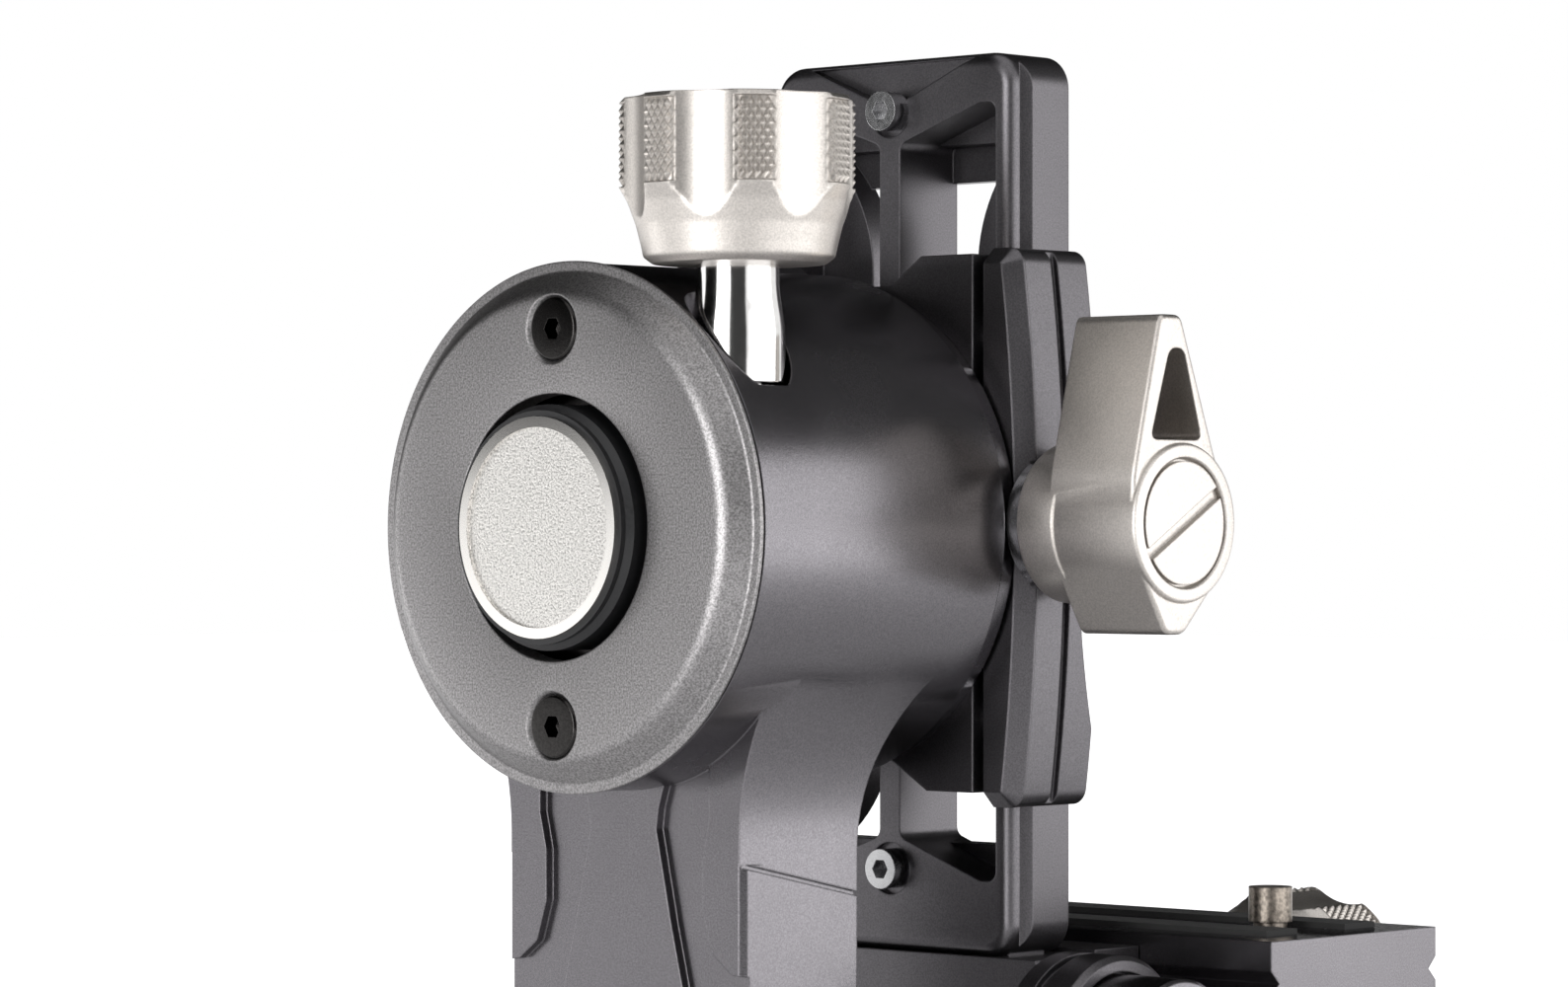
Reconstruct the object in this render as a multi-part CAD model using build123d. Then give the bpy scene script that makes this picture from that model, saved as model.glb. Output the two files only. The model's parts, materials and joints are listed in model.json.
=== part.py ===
from build123d import *

import os
from math import atan2, cos, degrees, radians, sin, sqrt

# Gimbal tripod head, millimetres.
# Frame: origin at the centre of the base's underside, +Z up along the pan axis,
# the tilt axis runs along +X at tilt_axis_height, and the lens points along Y.

# ---------------------------------------------------------------- clearances
running_clearance = 0.05     # radial, shaft or screw turning in its bore
sliding_clearance = 0.2      # between flat faces that slide on each other

# ------------------------------------------------------------ head as a whole
tilt_axis_height = 170.0     # base underside to tilt axis
pan_to_cap = 110.0           # pan axis to the outer face of the drum's end cap

# ------------------------------------------------------------------ end cap
cap_radius = 35.2
cap_thickness = 3.5
cap_face_radius = 30.8
cap_chamfer = 3.0
cap_hole_radius = 17.6
cap_spigot_radius = 22.5
cap_spigot_length = 2.0
cap_spigot_wall = 2.4
cap_screw_pitch_radius = 26.2
cap_screw_count = 2

# --------------------------------------------------------------- screw sizes
m3_radius = 1.5
m3_head_radius = 2.8
m3_head_height = 3.0
m3_hex = 2.5
m4_radius = 2.0
m4_head_radius = 4.3
m4_head_height = 2.4
m4_hex = 2.5
m5_radius = 2.5
m5_head_radius = 4.25
m5_head_height = 5.0
m5_hex = 4.0
tripod_thread_radius = 3.97  # tapping bore of a 3/8"-16 thread
camera_thread_radius = 3.1   # 1/4"-20 thread, outside

# --------------------------------------------------------------------- drum
drum_radius = 35.0
drum_length = 47.2
drum_groove_width = 0.5
drum_groove_radius = 33.8
brake_chamber_radius = 22.6
brake_chamber_depth = 15.5
bearing_web_width = 6.0
bearing_web_radius = 18.5

# ------------------------------------------------------------ tilt bearings
tilt_bearing_bore = 10.0     # radius
tilt_bearing_outer = 21.0    # radius
tilt_bearing_width = 12.0
tilt_ball_radius = 3.4
tilt_ball_count = 8

# --------------------------------------------------------------- tilt shaft
flange_radius = 34.0
flange_thickness = 2.7
flange_gap = 0.6
shaft_shoulder_radius = 12.8
brake_drum_radius = 22.0
brake_drum_length = 12.2
brake_drum_start = 6.0       # from the cap's outer face
axle_stud_radius = 6.0
axle_stud_length = 16.0
plug_radius = 16.2
plug_proud = 2.4
plug_step_radius = 15.4
badge_radius = 14.6
badge_proud = 0.5
badge_depth = 1.6
badge_rim_width = 1.4
badge_rim_height = 0.4

# --------------------------------------------------------------------- arm
arm_width = 44.4
arm_thickness = 22.0
arm_front_offset = 13.3      # from the cap's outer face
arm_foot_height = 20.0       # underside of both arms above the floor
arm_back_flare_radius = 39.0
arm_back_flare_start = 44.0  # below the tilt axis
arm_side_flare_radius = 39.0
arm_edge_bevel = 0.85        # front edges below the groove
arm_facet_depth = 3.8        # long bevel above the groove, along the tilt axis
arm_facet_inset = 0.75       # the same, across
arm_groove_width = 0.6
arm_groove_front_drop = 44.2 # groove below the tilt axis at the front face
arm_groove_back_drop = 48.9
pocket_depth = 1.25
pocket_fillet = 1.2
accessory_thread_drop = 68.0 # below the tilt axis
accessory_thread_length = 12.0

# ------------------------------------------------------------- lock knobs
knob_radius = 15.65
knob_height = 21.6
knob_land_height = 11.6      # knurled part below the top
knob_waist_radius = 13.2
knob_waist_height = 2.9
knob_foot_radius = 11.2
knob_foot_height = 1.4
knob_top_chamfer = 0.7
knob_flute_count = 7
knob_flute_radius = 9.8
knob_flute_pitch_radius = 24.0
stem_radius = 6.2
stem_neck_radius = 5.4
stem_neck_length = 4.7
stem_flare_length = 2.5
lock_screw_radius = 4.0
lock_screw_tip_radius = 2.6
lock_screw_pitch = 1.25
lock_tip_length = 4.0
lock_float = 0.3             # collar above its seat when the lock is tight
stem_bore_depth = 12.0
screw_tip_float = 0.1        # tip above the bottom of the pad's bore

# --------------------------------------------------------- tilt lock's place
tilt_knob_along = 11.0       # from the cap's outer face
tilt_knob_across = -23.4
tilt_knob_bottom = 34.2      # above the tilt axis
tilt_pocket_radius = 6.9
tilt_pocket_floor = 18.4
tilt_pad_radius = 5.6
tilt_pad_top = 13.0
tilt_pad_bottom = 2.0

# --------------------------------------------------------------- rail clamp
clamp_half_width = 26.35
clamp_thickness = 12.3
clamp_top = 37.2
clamp_bottom = 36.0
clamp_slope_start = 17.0
clamp_slope_run = 5.4
clamp_slope_drop = 3.9
hub_screw_pitch_radius = 24.0
hub_screw_count = 4
jaw_slit = 1.5
jaw_half_height = 38.0
jaw_foot_depth = 2.9         # jaw body beside the slit, at its ends
jaw_belly = 2.65             # extra depth at mid height
jaw_step = 2.15
jaw_ledge = 0.5
jaw_top_along = 70.4         # jaw's rail side at its ends, from the cap's outer face
jaw_waist_along = 65.9       # the same at mid height
jaw_foot_start = 0.5         # jaw's face behind the clamp's face
jaw_rib_start = 3.0
jaw_groove_start = 8.9
jaw_groove_width = 1.5
jaw_groove_depth = 1.0
jaw_corner = 2.5
guide_pin_radius = 3.0
guide_pin_height = 26.0
guide_pin_length = 26.0

# -------------------------------------------------------------------- lever
lever_axis_height = 0.6
lever_outer_across = 58.4
lever_wing_across = 43.3
lever_boss_across = 38.0
lever_boss_radius = 10.8
lever_disc_radius = 10.6
lever_recess_radius = 8.6
lever_recess_depth = 1.2
lever_screw_head_radius = 8.2
lever_screw_slot = 1.7
lever_screw_slot_depth = 0.9
lever_screw_slot_angle = 30.0
lever_screw_shank_radius = 2.5
lever_screw_shank_length = 8.0
lever_wing_fillet = 0.9
lever_window_fillet = 1.3
spindle_radius = 4.0
spindle_length = 46.0
thrust_washer_radius = 9.0

# --------------------------------------------------------------------- rail
rail_half_width = 22.6
rail_thickness = 12.2
rail_top = 66.0
rail_bottom = 59.5
rail_corner = 4.75
rail_front_fillet = 2.0
rail_lip = 1.7
rail_notch_depth = 1.4
rail_rib_half_width = 1.9
rail_window_half_width = 19.7
rail_window_top_inner = 54.0
rail_window_top_outer = 59.1
rail_window_outer_across = 16.8
rail_window_bottom_inner = 43.5
rail_window_bottom_outer = 49.0
rail_window_fillet = 1.5
rail_web_thickness = 4.7
rail_web_half_opening = 9.9
rail_web_arc_radius = 22.0
rail_web_arc_start = 36.5
rail_web_bottom_arc_start = 27.0
rail_recess_depth = 2.0
rail_recess_half_width = 15.5
rail_recess_tip_half_width = 3.4
rail_recess_rim = 0.6       # rail's end to the recess
rail_recess_height = 5.0
rail_screw_top = 58.7
rail_screw_bottom = 48.0
rail_screw_seat = 0.9
rail_pad_height = 1.5
rail_pad_length = 11.5
rail_pad_width = 36.0
rail_pad_inset = 5.5

# ------------------------------------------------- platform and its bracket
bracket_half_width = 27.0
bracket_tongue_half_width = 20.0
bracket_tongue_start = 2.5   # behind the rail's front face
bracket_tongue_thickness = 7.5
bracket_tongue_depth = 18.5
bracket_mortise_gap = 0.1
bracket_shelf_thickness = 6.0
bracket_shelf_length = 56.0
bracket_edge = 1.5
bracket_screw_spacing = 12.0
bracket_screw_seat = 7.0     # head seat above the bracket's underside
m4_cap_head_radius = 3.5
m4_cap_head_height = 4.0
m4_cap_hex = 3.0
bracket_screw_bite = 8.0
platform_knob_drop = 72.8
platform_knob_radius = 11.6
platform_knob_length = 13.0
platform_knob_edge = 0.5
platform_stud_bite = 9.0     # stud inside the knob
platform_boss_radius = 14.2
platform_boss_length = 10.0
platform_boss_chamfer = 0.8
platform_boss_recess_radius = 12.0
platform_boss_recess_depth = 2.5
platform_boss_groove_start = 3.0
platform_boss_groove_width = 1.6
platform_boss_groove_depth = 1.0
platform_pad_radius = 3.4
platform_pad_length = 3.0
platform_tip_length = 2.0

# ------------------------------------------- quick-release clamp and plate
qr_length = 53.0
qr_start_along = 79.8        # near edge, from the cap's outer face
qr_jaw_width = 9.7
qr_top_drop = 58.8
qr_floor_thickness = 10.0
qr_slit = 0.6
qr_pin_radius = 2.5
qr_pin_spacing = 36.0
qr_pin_length = 34.0
qr_knob_reach = 8.0
qr_screw_bite = 34.0
qr_tip_length = 2.0
qr_mount_screw_spacing = 20.0
plate_half_width = 19.0
plate_length = 100.0
plate_thickness = 9.0
plate_proud = 1.8            # above the jaws
plate_land = 4.2             # straight side above the notch
plate_notch_depth = 1.7
plate_slot_half_width = 3.3
plate_slot_half_length = 39.0
plate_recess_half_width = 7.4
plate_recess_depth = 5.0
plate_pad_width = 7.0
plate_pad_length = 88.0
plate_pad_height = 0.8
plate_pad_groove = 0.5
camera_screw_across = -35.0
camera_screw_head_radius = 7.0
camera_screw_head_height = 3.4
camera_screw_rise = 6.0      # end of the thread above the plate
camera_screw_neck_radius = 2.4
camera_screw_neck_rise = 0.2 # neck above the rubber strips

# --------------------------------------------------------------- pan base
base_radius = 30.0
base_plate_thickness = 7.0
degree_ring_height = 6.0
degree_ring_wall = 5.5
degree_ring_clearance = 0.5
pan_gap = 0.5
housing_top = 46.0
pan_shaft_radius = 12.5
pan_shaft_flange_height = 3.0
pan_spindle_radius = 8.5
pan_lower_bearing_outer = 23.5
pan_lower_bearing_width = 8.0
pan_upper_bearing_outer = 15.0
pan_upper_bearing_width = 7.0
pan_ball_count = 10
pan_pad_height = 29.0
pan_pad_radius = 4.8
pan_pad_length = 6.0
pan_pocket_floor = 26.0      # pan axis to the floor of the stem's pocket
base_screw_pitch_radius = 18.5
pan_shoulder_radius = 15.5
pan_lower_bearing_bottom = 15.0
pan_bearing_spacing = 11.2   # between the two bearings
pan_spindle_top = 44.8
pan_locknut_radius = 12.0
pan_locknut_height = 3.6
pan_cap_height = 2.5
pan_cap_screw_radius = 18.5
pan_cap_edge = 0.8
pan_cap_spigot_height = 0.6
pan_cap_screw_count = 3
pan_cap_screw_head = 1.7     # height of the flat head
pan_cap_screw_hex = 2.0
pan_cap_screw_length = 9.0
housing_edge = 1.5
base_edge = 1.0
base_screw_count = 4
pan_lower_ball_radius = 2.6
pan_upper_ball_radius = 1.7
pan_locknut_slot = 3.0
lower_arm_bevel = 1.5
pan_knob_across = 40.0       # pan axis to the knob's foot
thread_insert_radius = 6.5
thread_insert_length = 15.0
pan_cap_radius = 22.0
lower_arm_height = 24.0
arm_screw_rows = 12.0
arm_screw_columns = 24.0

# ------------------------------------------------------------- derived places
degree_ring_inner = base_radius - degree_ring_wall
pan_shaft_flange_radius = degree_ring_inner - degree_ring_clearance
plate_top = -qr_top_drop + plate_proud
qr_floor = plate_top - plate_thickness - sliding_clearance
qr_bottom_drop = -qr_floor + qr_floor_thickness
bracket_drop = platform_knob_drop + platform_boss_radius
pan_upper_bearing_bottom = pan_lower_bearing_bottom + pan_lower_bearing_width + pan_bearing_spacing
rail_face = (cap_thickness + drum_length + flange_gap + flange_thickness
             + clamp_thickness + sliding_clearance)
tongue_middle = rail_face + bracket_tongue_start + bracket_tongue_thickness / 2
flange_start = cap_thickness + drum_length + flange_gap
clamp_face = flange_start + flange_thickness
arm_screw_length = arm_thickness - m5_head_height - 1 + 15.0
bearing_starts = (cap_thickness + brake_chamber_depth,
                  cap_thickness + brake_chamber_depth + tilt_bearing_width + bearing_web_width)

# Head frame: x across (product Y), y up from the tilt axis, z along the tilt
# axis from the end cap's outer face.
head = Plane(origin=(-pan_to_cap, 0, tilt_axis_height), x_dir=(0, 1, 0), z_dir=(1, 0, 0))


# ------------------------------------------------------------- shape helpers
def lathe(*corners):
    """Solid turned about Z from (radius, height) corners."""
    return revolve(Plane.XZ * make_face(Polyline(*corners, close=True)), Axis.Z)


def disc(radius, height, bottom=0.0):
    """Cylinder standing on z = bottom."""
    return Pos(0, 0, bottom) * Cylinder(radius, height, align=(Align.CENTER, Align.CENTER, Align.MIN))


def block(x_range, y_range, z_range):
    """Box between the given pairs of coordinates."""
    size = [high - low for low, high in (x_range, y_range, z_range)]
    low = (x_range[0], y_range[0], z_range[0])
    return Pos(*low) * Box(*size, align=(Align.MIN, Align.MIN, Align.MIN))


def polygon(*corners):
    """Face with straight edges in the XY plane."""
    return make_face(Polyline(*corners, close=True))


def facing(origin, z_dir, x_dir):
    """Location whose Z axis points along z_dir."""
    return Plane(origin=origin, x_dir=x_dir, z_dir=z_dir).location


def hex_socket(across_flats, depth):
    """Hexagonal prism hanging below z = 0."""
    hexagon = RegularPolygon(across_flats / sqrt(3), 6)
    return Pos(0, 0, -depth) * extrude(hexagon, depth)


def socket_screw(radius, head_radius, head_height, across_flats, length):
    """Cap screw: its head stands on z = 0, its shank hangs below."""
    head_shape = disc(head_radius, head_height)
    screw = head_shape + disc(radius, length, -length)
    return screw - Pos(0, 0, head_height) * hex_socket(across_flats, 0.55 * head_height)


def countersunk_screw(radius, head_radius, head_height, across_flats, length):
    """Flat-head screw: its top face lies on z = 0."""
    screw = lathe((0, 0), (head_radius, 0), (radius, -head_height), (radius, -length), (0, -length))
    return screw - hex_socket(across_flats, 0.6 * head_height)


def countersink(radius, head_radius, head_height, depth):
    """Cutter for a flat-head screw with its top face on z = 0."""
    c = running_clearance
    return lathe((0, c), (head_radius + 2 * c, c), (radius + c, -head_height), (radius + c, -depth), (0, -depth))


def counterbore(radius, head_radius, head_height, depth, clearance=0.3):
    """Cutter for a cap screw whose head's underside lies on z = 0."""
    return disc(head_radius + clearance, head_height + 20) + disc(radius + running_clearance, depth + 1, -depth)


def bearing(bore, outer, width, ball_radius, ball_count):
    """Deep-groove ball bearing standing on z = 0: inner ring, outer ring, balls."""
    pitch = (bore + outer) / 2
    race = ball_radius + running_clearance
    land = 0.45 * ball_radius
    groove = Pos(0, 0, width / 2) * Torus(pitch, race)
    inner = disc(pitch - land, width) - disc(bore, width) - groove
    outer_ring = disc(outer, width) - disc(pitch + land, width) - groove
    balls = [place * Sphere(ball_radius) for place in PolarLocations(pitch, ball_count)]
    balls = [Pos(0, 0, width / 2) * ball for ball in balls]
    return inner, outer_ring, balls


# ---------------------------------------------------------------- lock knobs
def lock_knob():
    """Fluted knob standing on z = 0, waist below, bored for its stem."""
    taper_height = knob_height - knob_land_height
    outline = Wire([
        Line((0, 0), (knob_foot_radius, 0)),
        Line((knob_foot_radius, 0), (knob_waist_radius, knob_foot_height)),
        Line((knob_waist_radius, knob_foot_height), (knob_waist_radius, knob_waist_height)),
        TangentArc((knob_waist_radius, knob_waist_height), (knob_radius, taper_height), tangent=(0, 1)),
        Line((knob_radius, taper_height), (knob_radius, knob_height - knob_top_chamfer)),
        Line((knob_radius, knob_height - knob_top_chamfer), (knob_radius - knob_top_chamfer, knob_height)),
        Line((knob_radius - knob_top_chamfer, knob_height), (0, knob_height)),
        Line((0, knob_height), (0, 0)),
    ])
    knob = revolve(Plane.XZ * make_face(outline), Axis.Z)
    flute = disc(knob_flute_radius, knob_height)
    for place in PolarLocations(knob_flute_pitch_radius, knob_flute_count):
        knob -= place * flute
    return knob - disc(stem_neck_radius, stem_bore_depth)


def lock_stem(reach, screw_length, tip_length):
    """Polished stem: top pressed into the knob above z = 0, collar reaching down, screw and tip below."""
    top = stem_bore_depth
    neck = -stem_neck_length
    flare = neck - stem_flare_length
    screw = -reach - screw_length
    return lathe((0, top), (stem_neck_radius, top), (stem_neck_radius, neck), (stem_radius, flare),
                 (stem_radius, -reach), (lock_screw_radius, -reach), (lock_screw_radius, screw),
                 (lock_screw_tip_radius, screw), (lock_screw_tip_radius, screw - tip_length),
                 (0, screw - tip_length))


# ------------------------------------------------------------- drum and arm
def end_cap():
    """Chamfered cover of the drum with a spigot behind it."""
    cap = lathe((cap_hole_radius, 0), (cap_face_radius, 0), (cap_face_radius + cap_chamfer, cap_chamfer),
                (cap_radius, cap_chamfer), (cap_radius, cap_thickness),
                (cap_spigot_radius, cap_thickness), (cap_spigot_radius, cap_thickness + cap_spigot_length),
                (cap_spigot_radius - cap_spigot_wall, cap_thickness + cap_spigot_length),
                (cap_spigot_radius - cap_spigot_wall, cap_thickness), (cap_hole_radius, cap_thickness))
    cutter = countersink(m4_radius, m4_head_radius, m4_head_height, 12.0)
    for place in cap_screw_places():
        cap -= place * cutter
    return cap


def cap_screw_places():
    """Screw axes above and below the tilt axis, pointing out of the cap."""
    step = 360 / cap_screw_count
    places = []
    for index in range(cap_screw_count):
        angle = radians(90 + index * step)
        spot = (cap_screw_pitch_radius * cos(angle), cap_screw_pitch_radius * sin(angle), 0)
        places.append(facing(spot, (0, 0, -1), (1, 0, 0)))
    return places


def end_cap_screws():
    screw = countersunk_screw(m4_radius, m4_head_radius, m4_head_height, m4_hex, 10.0)
    return [place * screw for place in cap_screw_places()]


def arm_profile():
    """Side outline of the upright arm: along the tilt axis and up, flared under the drum."""
    front = arm_front_offset
    back = front + arm_thickness
    foot = arm_foot_height - tilt_axis_height
    flare = arm_back_flare_radius
    start = -arm_back_flare_start
    top = start + 0.8 * flare
    flare_along = back + flare - sqrt(flare ** 2 - (top - start) ** 2)
    middle = start + 0.4 * flare
    middle_along = back + flare - sqrt(flare ** 2 - (middle - start) ** 2)
    outline = Wire([
        Line((front, foot), (back, foot)),
        Line((back, foot), (back, start)),
        ThreePointArc((back, start), (middle_along, middle), (flare_along, top)),
        Line((flare_along, top), (front, top)),
        Line((front, top), (front, foot)),
    ])
    return make_face(outline)


def arm_flare_centre():
    """Middle of the arc that carries the arm's +x side into the drum's circle."""
    across = arm_width / 2 + arm_side_flare_radius
    return Vector(across, -sqrt((drum_radius + arm_side_flare_radius) ** 2 - across ** 2))


def arm_outline():
    """Front outline of the upright arm: straight sides that flare into the drum's circle."""
    half = arm_width / 2
    foot = arm_foot_height - tilt_axis_height
    centre = arm_flare_centre()
    side = Vector(half, centre.Y)
    touch = centre * (drum_radius / (drum_radius + arm_side_flare_radius))
    middle = centre + ((side + touch) / 2 - centre).normalized() * arm_side_flare_radius
    outline = Wire([
        Line((-half, foot), (half, foot)),
        Line((half, foot), side),
        ThreePointArc(side, middle, touch),
        Line(touch, (-touch.X, touch.Y)),
        ThreePointArc((-touch.X, touch.Y), (-middle.X, middle.Y), (-half, centre.Y)),
        Line((-half, centre.Y), (-half, foot)),
    ])
    return make_face(outline)


def side_bevel(inset, depth, low, high):
    """Cutter along the edge between the arm's front and its straight +x side."""
    half = arm_width / 2
    front = arm_front_offset
    section = polygon((half - inset, front), (half, front + depth), (half + 1, front + depth), (half + 1, front))
    level = Plane(origin=(0, high, 0), x_dir=(1, 0, 0), z_dir=(0, -1, 0))
    return extrude(level * section, high - low)


def arm_bevels():
    """Cutters on the +x side: a short bevel below the groove, a long facet above it that follows the flare."""
    foot = arm_foot_height - tilt_axis_height
    groove = -arm_groove_front_drop
    centre = arm_flare_centre()
    flare = arm_side_flare_radius
    cone = Cone(flare + arm_facet_inset, flare, arm_facet_depth, align=(Align.CENTER, Align.CENTER, Align.MIN))
    cone = Pos(centre.X, centre.Y, arm_front_offset) * cone
    upper = cone & block((0, centre.X), (centre.Y, 0), (0, drum_length))
    return [side_bevel(arm_edge_bevel, arm_edge_bevel, foot, groove),
            side_bevel(arm_facet_inset, arm_facet_depth, groove, centre.Y), upper]


def front_pocket():
    """One recessed panel of the arm's front face, on the +x side of the head frame."""
    edge = arm_width / 2 + 1
    panel = polygon((9.0, -30.0), (15.9, -30.0), (15.9, -38.5), (14.7, -43.5), (14.7, -50.5),
                    (16.5, -56.0), (20.0, -58.6), (edge, -58.9), (edge, -100.0),
                    (21.0, -100.0), (9.0, -52.5), (6.2, -40.0), (6.6, -37.2))
    return fillet(panel.vertices(), pocket_fillet)


def tilt_arm():
    """Drum and upright arm in one casting, in the head frame."""
    drum = lathe((0, cap_thickness), (drum_groove_radius, cap_thickness),
                 (drum_groove_radius, cap_thickness + drum_groove_width),
                 (drum_radius, cap_thickness + drum_groove_width),
                 (drum_radius, cap_thickness + drum_length), (0, cap_thickness + drum_length))
    # the profile's x is along the tilt axis, its y is up
    side = Plane(origin=(-drum_radius, 0, 0), x_dir=(0, 0, 1), z_dir=(-1, 0, 0))
    arm = extrude(side * arm_profile(), -2 * drum_radius) & extrude(arm_outline(), drum_length)
    for bevel in arm_bevels():
        arm -= bevel
        arm -= mirror(bevel, Plane.YZ)
    arm -= side_grooves()
    pocket = extrude(front_pocket(), pocket_depth)
    pocket = Pos(0, 0, arm_front_offset) * pocket
    arm -= pocket
    arm -= mirror(pocket, Plane.YZ)
    casting = drum + arm
    # stepped bore for brake drum and bearings
    first, second = bearing_starts
    end = cap_thickness + drum_length
    bore = disc(brake_chamber_radius, first - cap_thickness, cap_thickness)
    bore += disc(tilt_bearing_outer, tilt_bearing_width, first)
    bore += disc(bearing_web_radius, bearing_web_width + 2, first + tilt_bearing_width - 1)
    bore += disc(tilt_bearing_outer, end - second, second)
    casting -= bore
    # lock knob's pocket, screw hole and pad bore
    down = facing((tilt_knob_across, 0, tilt_knob_along), (0, 1, 0), (1, 0, 0))
    casting -= down * disc(tilt_pocket_radius, 30, tilt_pocket_floor)
    casting -= down * disc(lock_screw_radius + running_clearance, tilt_pocket_floor, 0)
    casting -= down * disc(tilt_pad_radius + running_clearance, tilt_pad_top + lock_screw_pitch + 0.5, 0)
    # tapped holes of the cap screws
    for place in cap_screw_places():
        casting -= place * disc(m4_radius + running_clearance, 11, -11)
    casting -= arm_screw_cutters()
    # accessory thread in the lens-side face
    accessory = facing((-arm_width / 2, -accessory_thread_drop, arm_front_offset + arm_thickness / 2),
                       (-1, 0, 0), (0, 1, 0))
    casting -= accessory * disc(tripod_thread_radius, accessory_thread_length + 1, -accessory_thread_length)
    return casting


def side_grooves():
    """Slanted shallow grooves across both side faces of the arm."""
    rise = arm_groove_back_drop - arm_groove_front_drop
    slope = degrees(atan2(rise, arm_thickness))
    middle_drop = (arm_groove_front_drop + arm_groove_back_drop) / 2
    middle_along = arm_front_offset + arm_thickness / 2
    strip = Box(2 * arm_groove_width, arm_groove_width, 1.3 * arm_thickness)
    cutters = []
    for side in (-1, 1):
        cutters.append(Pos(side * arm_width / 2, -middle_drop, middle_along) * Rot(slope, 0, 0) * strip)
    return cutters[0] + cutters[1]


def arm_screw_places():
    """Axes of the screws that join the two arms, heads in the upright's front face."""
    middle = arm_foot_height + lower_arm_height / 2 - tilt_axis_height
    places = []
    for across in (-arm_screw_columns / 2, arm_screw_columns / 2):
        for up in (-arm_screw_rows / 2, arm_screw_rows / 2):
            spot = (across, middle + up, arm_front_offset + m5_head_height + 1)
            places.append(facing(spot, (0, 0, -1), (1, 0, 0)))
    return places


def arm_screw_cutters():
    cutter = counterbore(m5_radius, m5_head_radius, m5_head_height, arm_screw_length + 1)
    cutters = [place * cutter for place in arm_screw_places()]
    return cutters[0] + cutters[1] + cutters[2] + cutters[3]


def arm_screws():
    screw = socket_screw(m5_radius, m5_head_radius, m5_head_height, m5_hex, arm_screw_length)
    return [place * screw for place in arm_screw_places()]


# ---------------------------------------------------------------- tilt hub
def tilt_bearings():
    inner, outer, balls = bearing(tilt_bearing_bore, tilt_bearing_outer, tilt_bearing_width,
                                  tilt_ball_radius, tilt_ball_count)
    places = [Pos(0, 0, start) for start in bearing_starts]
    return ([place * inner for place in places], [place * outer for place in places],
            [place * ball for place in places for ball in balls])


def tilt_shaft():
    """Flanged shaft with a tapped left end and holes for the clamp's screws."""
    shoulder = bearing_starts[1] + tilt_bearing_width
    shaft = lathe((0, brake_drum_start), (tilt_bearing_bore, brake_drum_start), (tilt_bearing_bore, shoulder),
                  (shaft_shoulder_radius, shoulder), (shaft_shoulder_radius, flange_start),
                  (flange_radius, flange_start), (flange_radius, clamp_face), (0, clamp_face))
    shaft -= disc(axle_stud_radius + running_clearance, axle_stud_length + 1, brake_drum_start)
    for place in PolarLocations(hub_screw_pitch_radius, hub_screw_count, 45):
        shaft -= place * disc(m5_radius + running_clearance, flange_thickness, flange_start)
    return shaft


def tilt_brake_drum():
    """Drum on the shaft that the lock pad bears on."""
    hub_end = bearing_starts[0]
    ring_end = brake_drum_start + brake_drum_length
    return lathe((tilt_bearing_bore, brake_drum_start), (brake_drum_radius, brake_drum_start),
                 (brake_drum_radius, ring_end), (shaft_shoulder_radius, ring_end),
                 (shaft_shoulder_radius, hub_end), (tilt_bearing_bore, hub_end))


def axle_plug():
    """Black cap nut in the end cap's hole, threaded into the shaft."""
    front = -plug_proud
    seat = front + badge_depth - badge_proud
    return lathe((0, seat), (badge_radius, seat), (badge_radius, front), (plug_step_radius, front),
                 (plug_step_radius, front + 0.8), (plug_radius, front + 1.6), (plug_radius, brake_drum_start),
                 (axle_stud_radius, brake_drum_start), (axle_stud_radius, brake_drum_start + axle_stud_length),
                 (0, brake_drum_start + axle_stud_length))


def badge_disc():
    """Plain metal disc with a raised rim, set in the plug."""
    seat = -plug_proud + badge_depth - badge_proud
    face = seat - badge_depth
    inner = badge_radius - badge_rim_width
    return lathe((0, seat), (badge_radius, seat), (badge_radius, face), (inner, face),
                 (inner, face + badge_rim_height), (0, face + badge_rim_height))


# ---------------------------------------------------------------- tilt lock
def tilt_lock_place():
    return facing((tilt_knob_across, tilt_knob_bottom, tilt_knob_along), (0, 1, 0), (1, 0, 0))


def tilt_lock_stem():
    reach = tilt_knob_bottom - tilt_pocket_floor - lock_float
    screw_length = tilt_pocket_floor + lock_float - tilt_pad_top
    return tilt_lock_place() * lock_stem(reach, screw_length, lock_tip_length)


def tilt_pad():
    """Bronze pad under the lock screw, hollowed to the brake drum's curve."""
    down = facing((tilt_knob_across, 0, tilt_knob_along), (0, 1, 0), (1, 0, 0))
    pad = down * disc(tilt_pad_radius, tilt_pad_top - tilt_pad_bottom, tilt_pad_bottom)
    pad -= down * disc(lock_screw_tip_radius + running_clearance, 10, tilt_pad_top - lock_tip_length - screw_tip_float)
    return pad - disc(brake_drum_radius + running_clearance, 40)


# --------------------------------------------------------------- rail clamp
def clamp_outline():
    """Front outline of the clamp's base plate, with sloped dips at top and bottom."""
    half = clamp_half_width
    flat = clamp_slope_start
    inner = flat - clamp_slope_run
    top = clamp_top
    bottom = -clamp_bottom
    dip = clamp_slope_drop
    return polygon((-half, bottom), (-flat - 1, bottom), (-inner, bottom + dip), (inner, bottom + dip),
                   (flat + 1, bottom), (half, bottom), (half, top), (flat, top), (inner, top - dip),
                   (-inner, top - dip), (-flat, top), (-half, top))


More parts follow.
